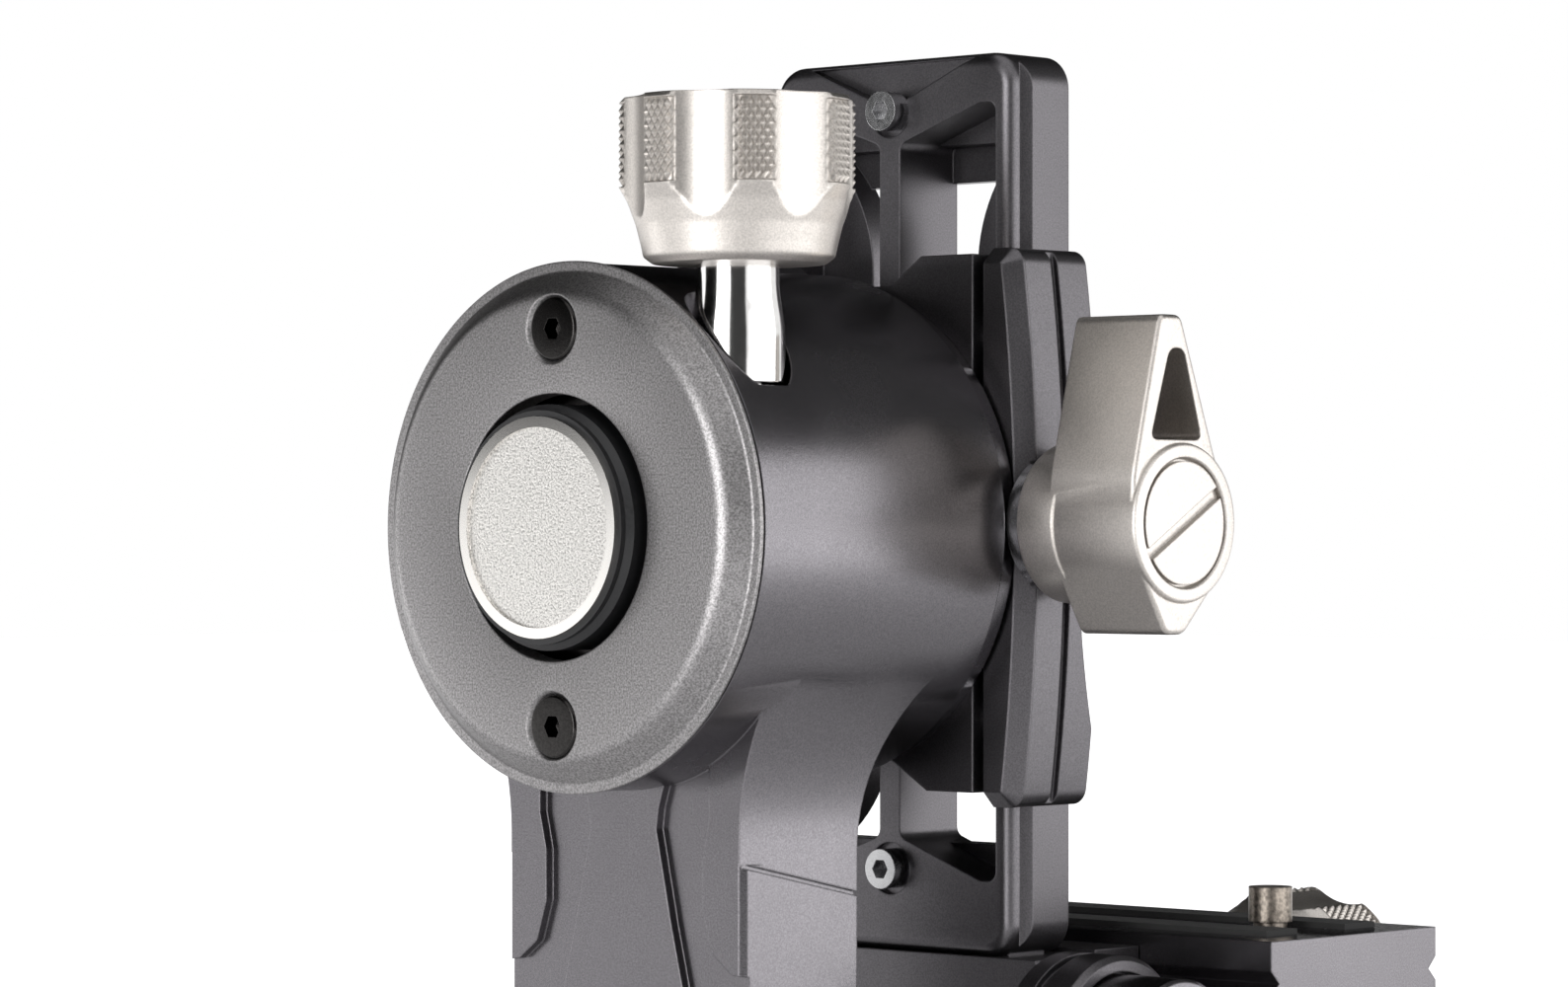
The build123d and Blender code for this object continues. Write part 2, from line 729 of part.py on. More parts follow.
def jaw_solid():
    """Moving jaw on the -x side: bowed, ribbed and hooked over the rail's lip."""
    inner = clamp_half_width + jaw_slit
    foot = inner + jaw_foot_depth
    face = clamp_face + jaw_foot_start
    rib = clamp_face + jaw_rib_start
    groove = clamp_face + jaw_groove_start
    top = jaw_top_along
    height = jaw_half_height

    def bowed(depth, low, high, corner=jaw_corner):
        """Slab from the slit to a bulging outer face, between two distances along the axis."""
        outline = Wire([
            Line((-inner, -height), (-depth, -height)),
            ThreePointArc((-depth, -height), (-depth - jaw_belly, 0), (-depth, height)),
            Line((-depth, height), (-inner, height)),
            Line((-inner, height), (-inner, -height)),
        ])
        face_shape = make_face(outline)
        face_shape = fillet(face_shape.vertices().sort_by(Axis.X)[:2], corner)
        return Pos(0, 0, low) * extrude(face_shape, high - low)

    front = bowed(foot + jaw_step, face, rib)
    rim = front.faces().sort_by(Axis.Z)[0].edges().filter_by(lambda edge: edge.center().X < -inner - 0.1)
    jaw = chamfer(rim, jaw_step) + bowed(foot + jaw_step - jaw_ledge, rib, top)
    jaw -= bowed_groove(foot + jaw_step - jaw_ledge, groove)
    # ledge over the base plate's edge and hook in the rail's notch
    gap = 1.5 * sliding_clearance
    ledge = rail_half_width + sliding_clearance
    start = rail_face + rail_lip - sliding_clearance + gap
    tip = top - (top - start) * 0.38
    hook_tip = ledge - (tip - start)
    section = polygon((-inner - 0.5, start - 1.9), (-ledge, start - 1.9), (-ledge, start),
                      (-hook_tip, tip), (-hook_tip - (top - tip), top), (-inner - 0.5, top))
    upright = Plane(origin=(0, height, 0), x_dir=(1, 0, 0), z_dir=(0, -1, 0))
    jaw += extrude(upright * section, 2 * height)
    # hollow of the rail side at mid height
    hollow_depth = jaw_top_along - jaw_waist_along
    chord = 1.45 * height
    radius = (chord ** 2 / 4 + hollow_depth ** 2) / (2 * hollow_depth)
    cutter = facing((0, 0, jaw_waist_along + radius), (1, 0, 0), (0, 1, 0)) * Pos(0, 0, -60) * disc(radius, 45)
    jaw -= cutter
    return jaw


def bowed_groove(depth, start):
    """Shallow groove that follows the jaw's bulging outer face."""
    height = jaw_half_height + 1
    shallow = depth - jaw_groove_depth
    outline = Wire([
        ThreePointArc((-shallow, -height), (-shallow - jaw_belly, 0), (-shallow, height)),
        Line((-shallow, height), (-shallow - 10, height)),
        Line((-shallow - 10, height), (-shallow - 10, -height)),
        Line((-shallow - 10, -height), (-shallow, -height)),
    ])
    return Pos(0, 0, start) * extrude(make_face(outline), jaw_groove_width)


def guide_pin_places():
    """Guide pins run across the clamp, above and below its middle."""
    along = clamp_face + clamp_thickness / 2
    start = -(clamp_half_width + jaw_slit + jaw_foot_depth)
    return [facing((start, up, along), (1, 0, 0), (0, 1, 0)) for up in (-guide_pin_height, guide_pin_height)]


def spindle_place():
    """Spindle axis across the clamp, pointing out of the lever."""
    along = clamp_face + clamp_thickness / 2
    return facing((0, lever_axis_height, along), (-1, 0, 0), (0, 1, 0))


def clamp_base():
    """Base plate with the fixed jaw on its +x side."""
    plate = Pos(0, 0, clamp_face) * extrude(clamp_outline(), clamp_thickness)
    fixed = mirror(jaw_solid(), Plane.YZ)
    bridge = block((clamp_half_width - 1, clamp_half_width + jaw_slit + 1),
                   (-clamp_bottom + 1, clamp_top - 1), (clamp_face + jaw_foot_start, clamp_face + clamp_thickness))
    base = plate + fixed + bridge
    for place in PolarLocations(hub_screw_pitch_radius, hub_screw_count, 45):
        head_seat = clamp_face + clamp_thickness - m5_head_height - 1
        base -= place * Pos(0, 0, head_seat) * counterbore(m5_radius, m5_head_radius, m5_head_height, 12)
    for place in guide_pin_places():
        base -= place * disc(guide_pin_radius + running_clearance, guide_pin_length + 2.5)
    base -= spindle_place() * disc(spindle_radius + running_clearance, 60, 9)
    return base


def washer_seat():
    """Jaw's spot face under the thrust washer, across the head."""
    return clamp_half_width + jaw_slit + jaw_foot_depth + jaw_step - jaw_ledge + jaw_belly - 0.2


def clamp_jaw():
    jaw = jaw_solid()
    jaw -= spindle_place() * disc(thrust_washer_radius + 0.3, 20, washer_seat())
    jaw -= spindle_place() * disc(spindle_radius + running_clearance, 60)
    for place in guide_pin_places():
        jaw -= place * disc(guide_pin_radius, guide_pin_length)
    return jaw


def jaw_guide_pins():
    pin = disc(guide_pin_radius, guide_pin_length)
    return [place * pin for place in guide_pin_places()]


def hub_screws():
    seat = clamp_face + clamp_thickness - m5_head_height - 1
    length = clamp_thickness - m5_head_height - 1 + flange_thickness
    screw = socket_screw(m5_radius, m5_head_radius, m5_head_height, m5_hex, length)
    return [place * Pos(0, 0, seat) * screw
            for place in PolarLocations(hub_screw_pitch_radius, hub_screw_count, 45)]


# -------------------------------------------------------------------- lever
def lever_outline():
    """Wing lever seen along its spindle: x along the tilt axis, y up from the spindle."""
    wing = polygon((-4.3, 27.6), (-9.6, 7.0), (-10.5, 1.0), (-9.3, -5.0), (-3.2, -14.8), (0.6, -14.8),
                   (7.0, -8.4), (10.6, 0.0), (8.6, 6.2), (7.2, 9.0), (0.0, 27.6))
    wing = fillet(wing.vertices(), lever_wing_fillet)
    return wing + Circle(lever_disc_radius)


def lever_window():
    """Triangular opening through the wing."""
    window = polygon((-2.6, 23.2), (0.5, 23.2), (4.3, 11.0), (-6.6, 11.0))
    return fillet(window.vertices(), lever_window_fillet)


def clamp_lever():
    """Wing lever with a round boss behind it, a recess and a window."""
    wing = extrude(lever_outline(), lever_outer_across - lever_wing_across)
    wing = Pos(0, 0, lever_wing_across) * wing
    boss = disc(lever_boss_radius, lever_wing_across - lever_boss_across + 1, lever_boss_across)
    lever = wing + boss
    window = Pos(0, 0, lever_wing_across - 1) * extrude(lever_window(), 20)
    lever -= window
    lever -= disc(lever_recess_radius, 3, lever_outer_across - lever_recess_depth)
    lever -= disc(spindle_radius, 60)
    lever_frame = facing((0, lever_axis_height, clamp_face + clamp_thickness / 2), (-1, 0, 0), (0, 0, 1))
    return lever_frame * lever


def lever_cap_screw():
    """Slotted screw in the lever's recess, threaded into the spindle."""
    seat = lever_outer_across - lever_recess_depth
    head_shape = disc(lever_screw_head_radius, lever_recess_depth - 0.1, seat)
    shank = disc(lever_screw_shank_radius, lever_screw_shank_length, seat - lever_screw_shank_length)
    screw = head_shape + shank
    depth = lever_screw_slot_depth
    slot = Box(2 * lever_disc_radius, lever_screw_slot, depth, align=(Align.CENTER, Align.CENTER, Align.MIN))
    screw -= Pos(0, 0, lever_outer_across - depth) * Rot(0, 0, lever_screw_slot_angle) * slot
    lever_frame = facing((0, lever_axis_height, clamp_face + clamp_thickness / 2), (-1, 0, 0), (0, 0, 1))
    return lever_frame * screw


def clamp_spindle():
    """Screw through the jaw into the base plate, its outer end in the lever."""
    end = lever_outer_across - lever_recess_depth
    spindle = disc(spindle_radius, spindle_length, end - spindle_length)
    spindle -= disc(lever_screw_shank_radius, lever_screw_shank_length, end - lever_screw_shank_length)
    return spindle_place() * spindle


def thrust_washer():
    """Washer between the jaw's bulging face and the lever's boss."""
    face = washer_seat()
    washer = disc(thrust_washer_radius, lever_boss_across - face, face)
    return spindle_place() * (washer - disc(spindle_radius + running_clearance, 60))


# --------------------------------------------------------------------- rail
def rail_section_notch():
    """Cutter for the dovetail notch along one side of the rail, at x = +half width."""
    half = rail_half_width
    low = rail_face + rail_lip
    notch = Plane(origin=(0, rail_top + 1, 0), x_dir=(1, 0, 0), z_dir=(0, 1, 0))
    depth = rail_notch_depth
    section = polygon((half - depth, -low - depth), (half + 1, -low + 1), (half + 1, -low - 2 * depth - 1))
    return extrude(notch * section, -(rail_top + rail_bottom + 2))


def rail_window():
    """One long window beside the middle rib, on the +x side, through the front part."""
    window = polygon((rail_rib_half_width, rail_window_top_inner),
                     (rail_window_outer_across, rail_window_top_outer),
                     (rail_window_half_width, rail_window_top_outer),
                     (rail_window_half_width, -rail_window_bottom_outer),
                     (rail_window_outer_across, -rail_window_bottom_outer),
                     (rail_rib_half_width, -rail_window_bottom_inner))
    return fillet(window.vertices(), rail_window_fillet)


def web_opening():
    """Opening of the rear web: straight in the middle, flaring to the window's corners."""
    inner = rail_rib_half_width
    wide = rail_web_half_opening
    radius = rail_web_arc_radius

    def flare(rise):
        return wide + radius - sqrt(radius ** 2 - rise ** 2)

    reach = 17.5
    top = rail_web_arc_start
    bottom = -rail_web_bottom_arc_start
    outline = Wire([
        Line((inner, bottom - reach), (inner, top + reach)),
        Line((inner, top + reach), (flare(reach), top + reach)),
        ThreePointArc((flare(reach), top + reach), (flare(reach / 2), top + reach / 2), (wide, top)),
        Line((wide, top), (wide, bottom)),
        ThreePointArc((wide, bottom), (flare(reach / 2), bottom - reach / 2), (flare(reach), bottom - reach)),
        Line((flare(reach), bottom - reach), (inner, bottom - reach)),
    ])
    return make_face(outline)


def swing_rail():
    """Dovetail rail with windows, a middle rib and pads behind."""
    height = rail_top + rail_bottom
    middle = (rail_top - rail_bottom) / 2
    outline = Pos(0, middle) * RectangleRounded(2 * rail_half_width, height, rail_corner)
    rail = Pos(0, 0, rail_face) * extrude(outline, rail_thickness)
    front_edges = rail.faces().sort_by(Axis.Z)[0].edges()
    rail = fillet(front_edges, rail_front_fillet)
    notch = rail_section_notch()
    rail -= notch
    rail -= mirror(notch, Plane.YZ)
    front_depth = rail_thickness - rail_web_thickness
    window = Pos(0, 0, rail_face - 1) * extrude(rail_window(), front_depth + 1)
    opening = Pos(0, 0, rail_face - 1) * extrude(web_opening() & rail_window(), rail_thickness + 2)
    for cutter in (window, opening):
        rail -= cutter
        rail -= mirror(cutter, Plane.YZ)
    # recessed triangles between the bars at both ends
    half = rail_recess_half_width
    tip = rail_recess_tip_half_width
    recess_top = rail_top - rail_recess_rim
    recess_bottom = recess_top - rail_recess_height
    triangle = polygon((-half, recess_top), (half, recess_top), (tip, recess_bottom), (-tip, recess_bottom))
    rail -= Pos(0, 0, rail_face - 1) * extrude(triangle, rail_recess_depth + 1)
    back = rail_face + rail_thickness
    for up in (rail_top - rail_pad_inset - rail_pad_length, -rail_bottom + rail_pad_inset / 2):
        rail += block((-rail_pad_width / 2, rail_pad_width / 2), (up, up + rail_pad_length),
                      (back - 1, back + rail_pad_height))
    rail += rail_tongue()
    for place in bracket_screw_places():
        rail -= place * disc(m4_radius + running_clearance, bracket_screw_length() + 0.5, -bracket_screw_length() - 0.5)
    for up in (rail_screw_top, -rail_screw_bottom):
        seat = rail_face + rail_screw_seat
        rail -= Pos(0, up, 0) * disc(3.7, rail_screw_seat + 1, rail_face - 1)
        rail -= Pos(0, up, 0) * disc(m3_radius + running_clearance, 6.5, seat - 0.5)
    return rail


def rail_stop_screws():
    """Small cap screws standing out of the rail's front at both ends."""
    screw = socket_screw(m3_radius, m3_head_radius, m3_head_height, m3_hex, 5.5)
    seat = rail_face + rail_screw_seat
    return [facing((0, up, seat), (0, 0, -1), (1, 0, 0)) * screw for up in (rail_screw_top, -rail_screw_bottom)]


# ------------------------------------------------- platform and its bracket
def across_profile(section, half_length):
    """Section drawn along the tilt axis (x) and up (y), carried across the head."""
    side = Plane(origin=(-half_length, 0, 0), x_dir=(0, 0, 1), z_dir=(-1, 0, 0))
    return extrude(side * section, -2 * half_length)


def screw_up(across, drop, along):
    """Axis of a screw driven upwards, its head's underside at the given drop."""
    return facing((across, -drop, along), (0, -1, 0), (1, 0, 0))


def bracket_screw_places():
    """Screws from the bracket's underside into the rail's tongue."""
    drop = bracket_drop - bracket_screw_seat
    return [screw_up(across, drop, tongue_middle) for across in (-bracket_screw_spacing, bracket_screw_spacing)]


def bracket_screw_length():
    drop = bracket_drop - bracket_screw_seat
    return drop - rail_bottom - bracket_tongue_depth + bracket_screw_bite


def qr_screw_places():
    """Screws from the shelf's underside into the quick-release clamp."""
    drop = qr_bottom_drop + bracket_shelf_thickness - m5_head_height
    along = qr_start_along + qr_jaw_width + plate_half_width
    half = qr_mount_screw_spacing / 2
    return [screw_up(across, drop, along) for across in (-half, half)]


def platform_boss_place():
    """Lock screw's boss on the lens-left side of the bracket."""
    return facing((-bracket_half_width, -platform_knob_drop, tongue_middle), (-1, 0, 0), (0, 1, 0))


def platform_boss():
    """Grooved round boss standing on z = 0, with a recess in its end for the lock knob."""
    radius = platform_boss_radius
    end = platform_boss_length
    groove_floor = radius - platform_boss_groove_depth
    groove_end = platform_boss_groove_start + platform_boss_groove_width
    recess = end - platform_boss_recess_depth
    return lathe((0, 0), (radius, 0), (radius, platform_boss_groove_start),
                 (groove_floor, platform_boss_groove_start), (groove_floor, groove_end), (radius, groove_end),
                 (radius, end - platform_boss_chamfer), (radius - platform_boss_chamfer, end),
                 (platform_boss_recess_radius, end), (platform_boss_recess_radius, recess), (0, recess))


def platform_bracket():
    """Block under the rail's foot with a shelf that carries the quick-release clamp."""
    top = -rail_bottom
    shelf_top = -qr_bottom_drop
    shelf_bottom = shelf_top - bracket_shelf_thickness
    back = qr_start_along
    end = rail_face + bracket_shelf_length
    edge = bracket_edge
    section = polygon((rail_face, top), (back, top), (back, shelf_top), (end, shelf_top),
                      (end, shelf_bottom + edge), (end - edge, shelf_bottom), (back, shelf_bottom),
                      (back, -bracket_drop + edge), (back - edge, -bracket_drop),
                      (rail_face + edge, -bracket_drop), (rail_face, -bracket_drop + edge))
    bracket = across_profile(section, bracket_half_width)
    boss = platform_boss_place()
    bracket += boss * platform_boss()
    mortise = rail_tongue(bracket_mortise_gap)
    bracket -= mortise
    wall = bracket_half_width - bracket_tongue_half_width
    bracket -= boss * disc(lock_screw_radius + running_clearance, 40, -wall)
    for place in bracket_screw_places():
        bracket -= place * counterbore(m4_radius, m4_cap_head_radius, m4_cap_head_height, bracket_screw_length())
    for place in qr_screw_places():
        bracket -= place * counterbore(m5_radius, m5_head_radius, m5_head_height, 5)
    return bracket


def rail_tongue(gap=0.0):
    """Tongue under the rail's foot, or with a gap the mortise that holds it."""
    half = bracket_tongue_half_width + gap
    start = rail_face + bracket_tongue_start - gap
    end = rail_face + bracket_tongue_start + bracket_tongue_thickness + gap
    top = -rail_bottom + (1 if gap else 3)
    return block((-half, half), (-rail_bottom - bracket_tongue_depth - gap, top), (start, end))


def bracket_screws():
    screw = socket_screw(m4_radius, m4_cap_head_radius, m4_cap_head_height, m4_cap_hex, bracket_screw_length())
    return [place * screw for place in bracket_screw_places()]


def platform_lock_place():
    """Foot of the platform's lock knob in the boss's recess, pointing away from the head."""
    across = bracket_half_width + platform_boss_length - platform_boss_recess_depth + lock_float
    return facing((-across, -platform_knob_drop, tongue_middle), (-1, 0, 0), (0, 1, 0))


def platform_pad_back():
    """Outer face of the lock's pad, across the head."""
    return bracket_tongue_half_width + running_clearance + platform_pad_length


def platform_lock_stem():
    """Threaded stud pressed into the lock knob, with a tip in the pad."""
    place = platform_lock_place()
    shank = -place.position.X - platform_pad_back()
    return place * lathe((0, platform_stud_bite), (lock_screw_radius, platform_stud_bite),
                         (lock_screw_radius, -shank), (lock_screw_tip_radius, -shank),
                         (lock_screw_tip_radius, -shank - platform_tip_length), (0, -shank - platform_tip_length))


def platform_pad():
    """Brass pad between the lock screw and the rail's tongue."""
    axis = facing((0, -platform_knob_drop, tongue_middle), (-1, 0, 0), (0, 1, 0))
    back = platform_pad_back()
    pad = axis * disc(platform_pad_radius, platform_pad_length, back - platform_pad_length)
    return pad - axis * disc(lock_screw_tip_radius + running_clearance, 10, back - platform_tip_length - screw_tip_float)


def platform_lock_knob():
    """Plain round knob, sunk in the boss and bored for its stud."""
    edge = platform_knob_edge
    knob = lathe((lock_screw_radius, 0), (platform_knob_radius, 0),
                 (platform_knob_radius, platform_knob_length - edge),
                 (platform_knob_radius - edge, platform_knob_length), (0, platform_knob_length),
                 (0, platform_stud_bite), (lock_screw_radius, platform_stud_bite))
    return platform_lock_place() * knob


# ------------------------------------------- quick-release clamp and plate
def jaw_profile(gap):
    """Corners of a dovetail wall from the jaw's top down to the floor: (gap from the plate, up)."""
    notch_top = plate_top - plate_land
    depth = plate_notch_depth
    return [(gap, -qr_top_drop), (gap, notch_top - gap), (gap - depth, notch_top - depth),
            (gap, notch_top - 2 * depth + gap), (gap, qr_floor + sliding_clearance)]


def qr_base():
    """Channel with the fixed dovetail jaw beside the rail."""
    near = qr_start_along
    plate_edge = near + qr_jaw_width
    wall = [(plate_edge - gap, up) for gap, up in jaw_profile(sliding_clearance)]
    end = plate_edge + 2 * plate_half_width + 1.0
    wall[-1] = (wall[-1][0], qr_floor)
    section = polygon((near, -qr_bottom_drop), (near, -qr_top_drop), *wall, (end, qr_floor), (end, -qr_bottom_drop))
    base = across_profile(section, qr_length / 2)
    for place in qr_screw_places():
        base -= place * disc(m5_radius + running_clearance, 20, -qr_screw_length() - 0.5)
    for place in qr_pin_places():
        base -= place * disc(qr_pin_radius + running_clearance, qr_pin_length + 2.5, -qr_pin_length)
    base -= qr_knob_place() * disc(lock_screw_radius + running_clearance, qr_hole_depth(), -qr_hole_depth())
    return base


def qr_screw_length():
    return bracket_shelf_thickness - m5_head_height + qr_floor_thickness - 1.0


def qr_screws():
    screw = socket_screw(m5_radius, m5_head_radius, m5_head_height, m5_hex, qr_screw_length())
    return [place * screw for place in qr_screw_places()]


def qr_jaw_start():
    """Face of the moving jaw that closes on the channel's end."""
    return qr_start_along + qr_jaw_width + 2 * plate_half_width + 1.0 + qr_slit


def qr_jaw_end():
    return qr_start_along + 2 * qr_jaw_width + 2 * plate_half_width


def qr_jaw():
    """Moving dovetail jaw at the channel's far side."""
    plate_edge = qr_start_along + qr_jaw_width + 2 * plate_half_width
    wall = [(plate_edge + gap, up) for gap, up in jaw_profile(sliding_clearance)]
    section = polygon((qr_jaw_end(), -qr_bottom_drop), (qr_jaw_end(), -qr_top_drop), *wall,
                      (qr_jaw_start(), qr_floor + sliding_clearance), (qr_jaw_start(), -qr_bottom_drop))
    jaw = across_profile(section, qr_length / 2)
    jaw -= qr_knob_place() * disc(lock_screw_radius + running_clearance, qr_hole_depth(), -qr_hole_depth())
    for place in qr_pin_places():
        jaw -= place * disc(qr_pin_radius, qr_pin_length, -qr_pin_length)
    return jaw


def qr_pin_places():
    """Guide pins of the moving jaw, pointing out of the clamp; z = 0 is their outer end."""
    half = qr_pin_spacing / 2
    up = -(qr_bottom_drop - qr_floor_thickness / 2)
    return [facing((across, up, qr_jaw_end() - 1.0), (0, 0, 1), (1, 0, 0)) for across in (-half, half)]


def qr_guide_pins():
    return [place * disc(qr_pin_radius, qr_pin_length, -qr_pin_length) for place in qr_pin_places()]


def qr_knob_place():
    """Foot of the quick-release knob, pointing away from the rail."""
    up = -(qr_bottom_drop - qr_floor_thickness / 2)
    return facing((0, up, qr_jaw_end() + qr_knob_reach), (0, 0, 1), (1, 0, 0))


def qr_hole_depth():
    """Screw hole's end inside the clamp, measured from the knob's foot."""
    return qr_knob_reach + qr_screw_bite + qr_tip_length + 0.5


def qr_stem():
    return qr_knob_place() * lock_stem(qr_knob_reach - 0.1, qr_screw_bite, qr_tip_length)


def qr_knob():
    return qr_knob_place() * lock_knob()


def plate_middle():
    return qr_start_along + qr_jaw_width + plate_half_width


def lens_plate():
    """Dovetail plate with a long slot, recessed below for the camera screw's head."""
    half = plate_half_width
    notch_top = plate_top - plate_land
    depth = plate_notch_depth
    bottom = plate_top - plate_thickness
    right = [(half, plate_top), (half, notch_top), (half - depth, notch_top - depth),
             (half, notch_top - 2 * depth), (half, bottom)]
    left = [(-x, y) for x, y in reversed(right)]
    section = Pos(plate_middle(), 0) * polygon(*right, *left)
    plate = across_profile(section, plate_length / 2)
    down = facing((0, bottom, plate_middle()), (0, 1, 0), (1, 0, 0))
    slot = SlotOverall(2 * plate_slot_half_length, 2 * plate_slot_half_width)
    recess = SlotOverall(2 * plate_slot_half_length + 8, 2 * plate_recess_half_width)
    plate -= down * extrude(slot, plate_thickness + 1)
    plate -= down * extrude(recess, plate_recess_depth)
    for place in plate_pad_places():
        plate -= place * Box(plate_pad_length, plate_pad_width, 2 * plate_pad_groove)
    return plate


def plate_pad_places():
    """Middles of the rubber strips on the plate's top face."""
    offset = plate_slot_half_width + 2.2 + plate_pad_width / 2
    return [facing((0, plate_top, plate_middle() + side * offset), (0, 1, 0), (1, 0, 0)) for side in (-1, 1)]


def plate_pads():
    low = Align.MIN
    strip = Box(plate_pad_length, plate_pad_width, plate_pad_height + plate_pad_groove,
                align=(Align.CENTER, Align.CENTER, low))
    return [place * Pos(0, 0, -plate_pad_groove) * strip for place in plate_pad_places()]


def camera_screw():
    """Captive camera screw: head below the slot, relieved neck in it, thread above the rubber strips."""
    top = plate_top - plate_thickness + plate_recess_depth
    place = facing((camera_screw_across, top, plate_middle()), (0, 1, 0), (1, 0, 0))
    head_shape = disc(camera_screw_head_radius, camera_screw_head_height, -camera_screw_head_height)
    neck = plate_thickness - plate_recess_depth + plate_pad_height + camera_screw_neck_rise
    end = plate_thickness - plate_recess_depth + camera_screw_rise
    screw = head_shape + disc(camera_screw_neck_radius, neck) + disc(camera_thread_radius, end - neck, neck)
    slot = Box(20, 1.6, 3, align=(Align.CENTER, Align.CENTER, Align.CENTER))
    return place * (screw - Pos(0, 0, -camera_screw_head_height) * slot)


# --------------------------------------------------------------- pan base
def base_screw_places():
    return [Rot(0, 0, 45) * place * Rot(180, 0, 0) for place in PolarLocations(base_screw_pitch_radius, base_screw_count)]


def base_plate():
    """Foot disc with the tripod thread's bush in its middle."""
    plate = lathe((thread_insert_radius, 0), (base_radius - base_edge, 0), (base_radius, base_edge),
                  (base_radius, base_plate_thickness), (thread_insert_radius, base_plate_thickness))
    for place in base_screw_places():
        plate -= place * countersink(m4_radius, m4_head_radius, m4_head_height, 12)
    return plate


def base_screws():
    length = base_plate_thickness + pan_shaft_flange_height - 0.2
    screw = countersunk_screw(m4_radius, m4_head_radius, m4_head_height, m4_hex, length)
    return [place * screw for place in base_screw_places()]


def thread_insert():
    """Steel bush with the tripod thread's bore."""
    return disc(thread_insert_radius, thread_insert_length) - disc(tripod_thread_radius, thread_insert_length)


def degree_ring():
    """Ring round the shaft's flange that carries the scale."""
    bottom = base_plate_thickness
    return disc(base_radius, degree_ring_height, bottom) - disc(degree_ring_inner, degree_ring_height, bottom)


def pan_shaft():
    """Fixed upright shaft that the housing turns on."""
    bottom = base_plate_thickness
    flange_top = bottom + pan_shaft_flange_height
    shaft = lathe((0, bottom), (pan_shaft_flange_radius, bottom), (pan_shaft_flange_radius, flange_top),
                  (pan_shoulder_radius, flange_top), (pan_shoulder_radius, pan_lower_bearing_bottom),
                  (pan_shaft_radius, pan_lower_bearing_bottom), (pan_shaft_radius, pan_upper_bearing_bottom),
                  (pan_spindle_radius, pan_upper_bearing_bottom), (pan_spindle_radius, pan_spindle_top),
                  (0, pan_spindle_top))
    shaft -= disc(thread_insert_radius, thread_insert_length)
    for place in base_screw_places():
        shaft -= place * disc(m4_radius + running_clearance, 30, -20)
    return shaft


def pan_bearings():
    lower = bearing(pan_shaft_radius, pan_lower_bearing_outer, pan_lower_bearing_width,
                    pan_lower_ball_radius, pan_ball_count)
    upper = bearing(pan_spindle_radius, pan_upper_bearing_outer, pan_upper_bearing_width,
                    pan_upper_ball_radius, pan_ball_count)
    low = Pos(0, 0, pan_lower_bearing_bottom)
    high = Pos(0, 0, pan_upper_bearing_bottom)
    return ([low * lower[0], high * upper[0]], [low * lower[1], high * upper[1]],
            [low * ball for ball in lower[2]] + [high * ball for ball in upper[2]])


def pan_locknut():
    nut = disc(pan_locknut_radius, pan_locknut_height, pan_upper_bearing_bottom + pan_upper_bearing_width)
    for place in PolarLocations(pan_locknut_radius, 4):
        nut -= place * Box(pan_locknut_slot, pan_locknut_slot, 2 * housing_top)
    return nut - disc(pan_spindle_radius, housing_top)


def pan_lock_place():
    return facing((0, -pan_knob_across, pan_pad_height), (0, -1, 0), (1, 0, 0))


def lower_arm():
    """Pan housing and level arm in one casting, in the product frame."""
    bottom = base_plate_thickness + degree_ring_height + pan_gap
    housing = lathe((0, bottom), (base_radius, bottom), (base_radius, housing_top - housing_edge),
                    (base_radius - housing_edge, housing_top), (0, housing_top))
    root = -(pan_to_cap - arm_front_offset - arm_thickness)
    half = arm_width / 2
    arm = block((root, 0), (-half, half), (arm_foot_height, arm_foot_height + lower_arm_height))
    arm = chamfer(arm.edges().filter_by(Axis.X), lower_arm_bevel)
    casting = housing + arm
    casting -= disc(pan_lower_bearing_outer, pan_lower_bearing_bottom + pan_lower_bearing_width)
    casting -= disc(pan_shaft_radius + 1.5, pan_upper_bearing_bottom)
    casting -= disc(pan_upper_bearing_outer, housing_top, pan_upper_bearing_bottom)
    lock = pan_lock_place()
    casting -= lock * disc(stem_radius + 0.6, 40, pan_pocket_floor - pan_knob_across)
    casting -= lock * disc(lock_screw_radius + running_clearance, pan_knob_across, -pan_knob_across)
    pad_end = pan_shaft_radius + pan_pad_length + lock_screw_pitch + 0.5
    casting -= lock * disc(pan_pad_radius + running_clearance, pad_end, -pan_knob_across)
    for place in pan_cap_screw_places():
        casting -= place * disc(m3_radius + running_clearance, 12, -9.5)
    for place in arm_screw_places():
        casting -= head * place * disc(m5_radius + running_clearance, 30 + arm_screw_length, -arm_screw_length - 1)
    return casting


def pan_cap():
    """Cover over the locknut with a locating spigot."""
    spigot = pan_upper_bearing_outer - 2 * running_clearance
    bottom = housing_top - pan_cap_spigot_height
    top = housing_top + pan_cap_height
    edge = pan_cap_edge
    cap = lathe((0, bottom), (spigot, bottom), (spigot, housing_top), (pan_cap_radius, housing_top),
                (pan_cap_radius, top - edge), (pan_cap_radius - edge, top), (0, top))
    for place in pan_cap_screw_places():
        cap -= place * countersink(m3_radius, m3_head_radius, pan_cap_screw_head, 12)
    return cap


def pan_cap_screw_places():
    top = housing_top + pan_cap_height
    return [Pos(0, 0, top) * place for place in PolarLocations(pan_cap_screw_radius, pan_cap_screw_count, 30)]


def pan_cap_screws():
    screw = countersunk_screw(m3_radius, m3_head_radius, pan_cap_screw_head, pan_cap_screw_hex, pan_cap_screw_length)
    return [place * screw for place in pan_cap_screw_places()]


def pan_lock_stem():
    reach = pan_knob_across - pan_pocket_floor - lock_float
    pad_back = pan_shaft_radius + pan_pad_length
    return pan_lock_place() * lock_stem(reach, pan_pocket_floor + lock_float - pad_back, lock_tip_length)


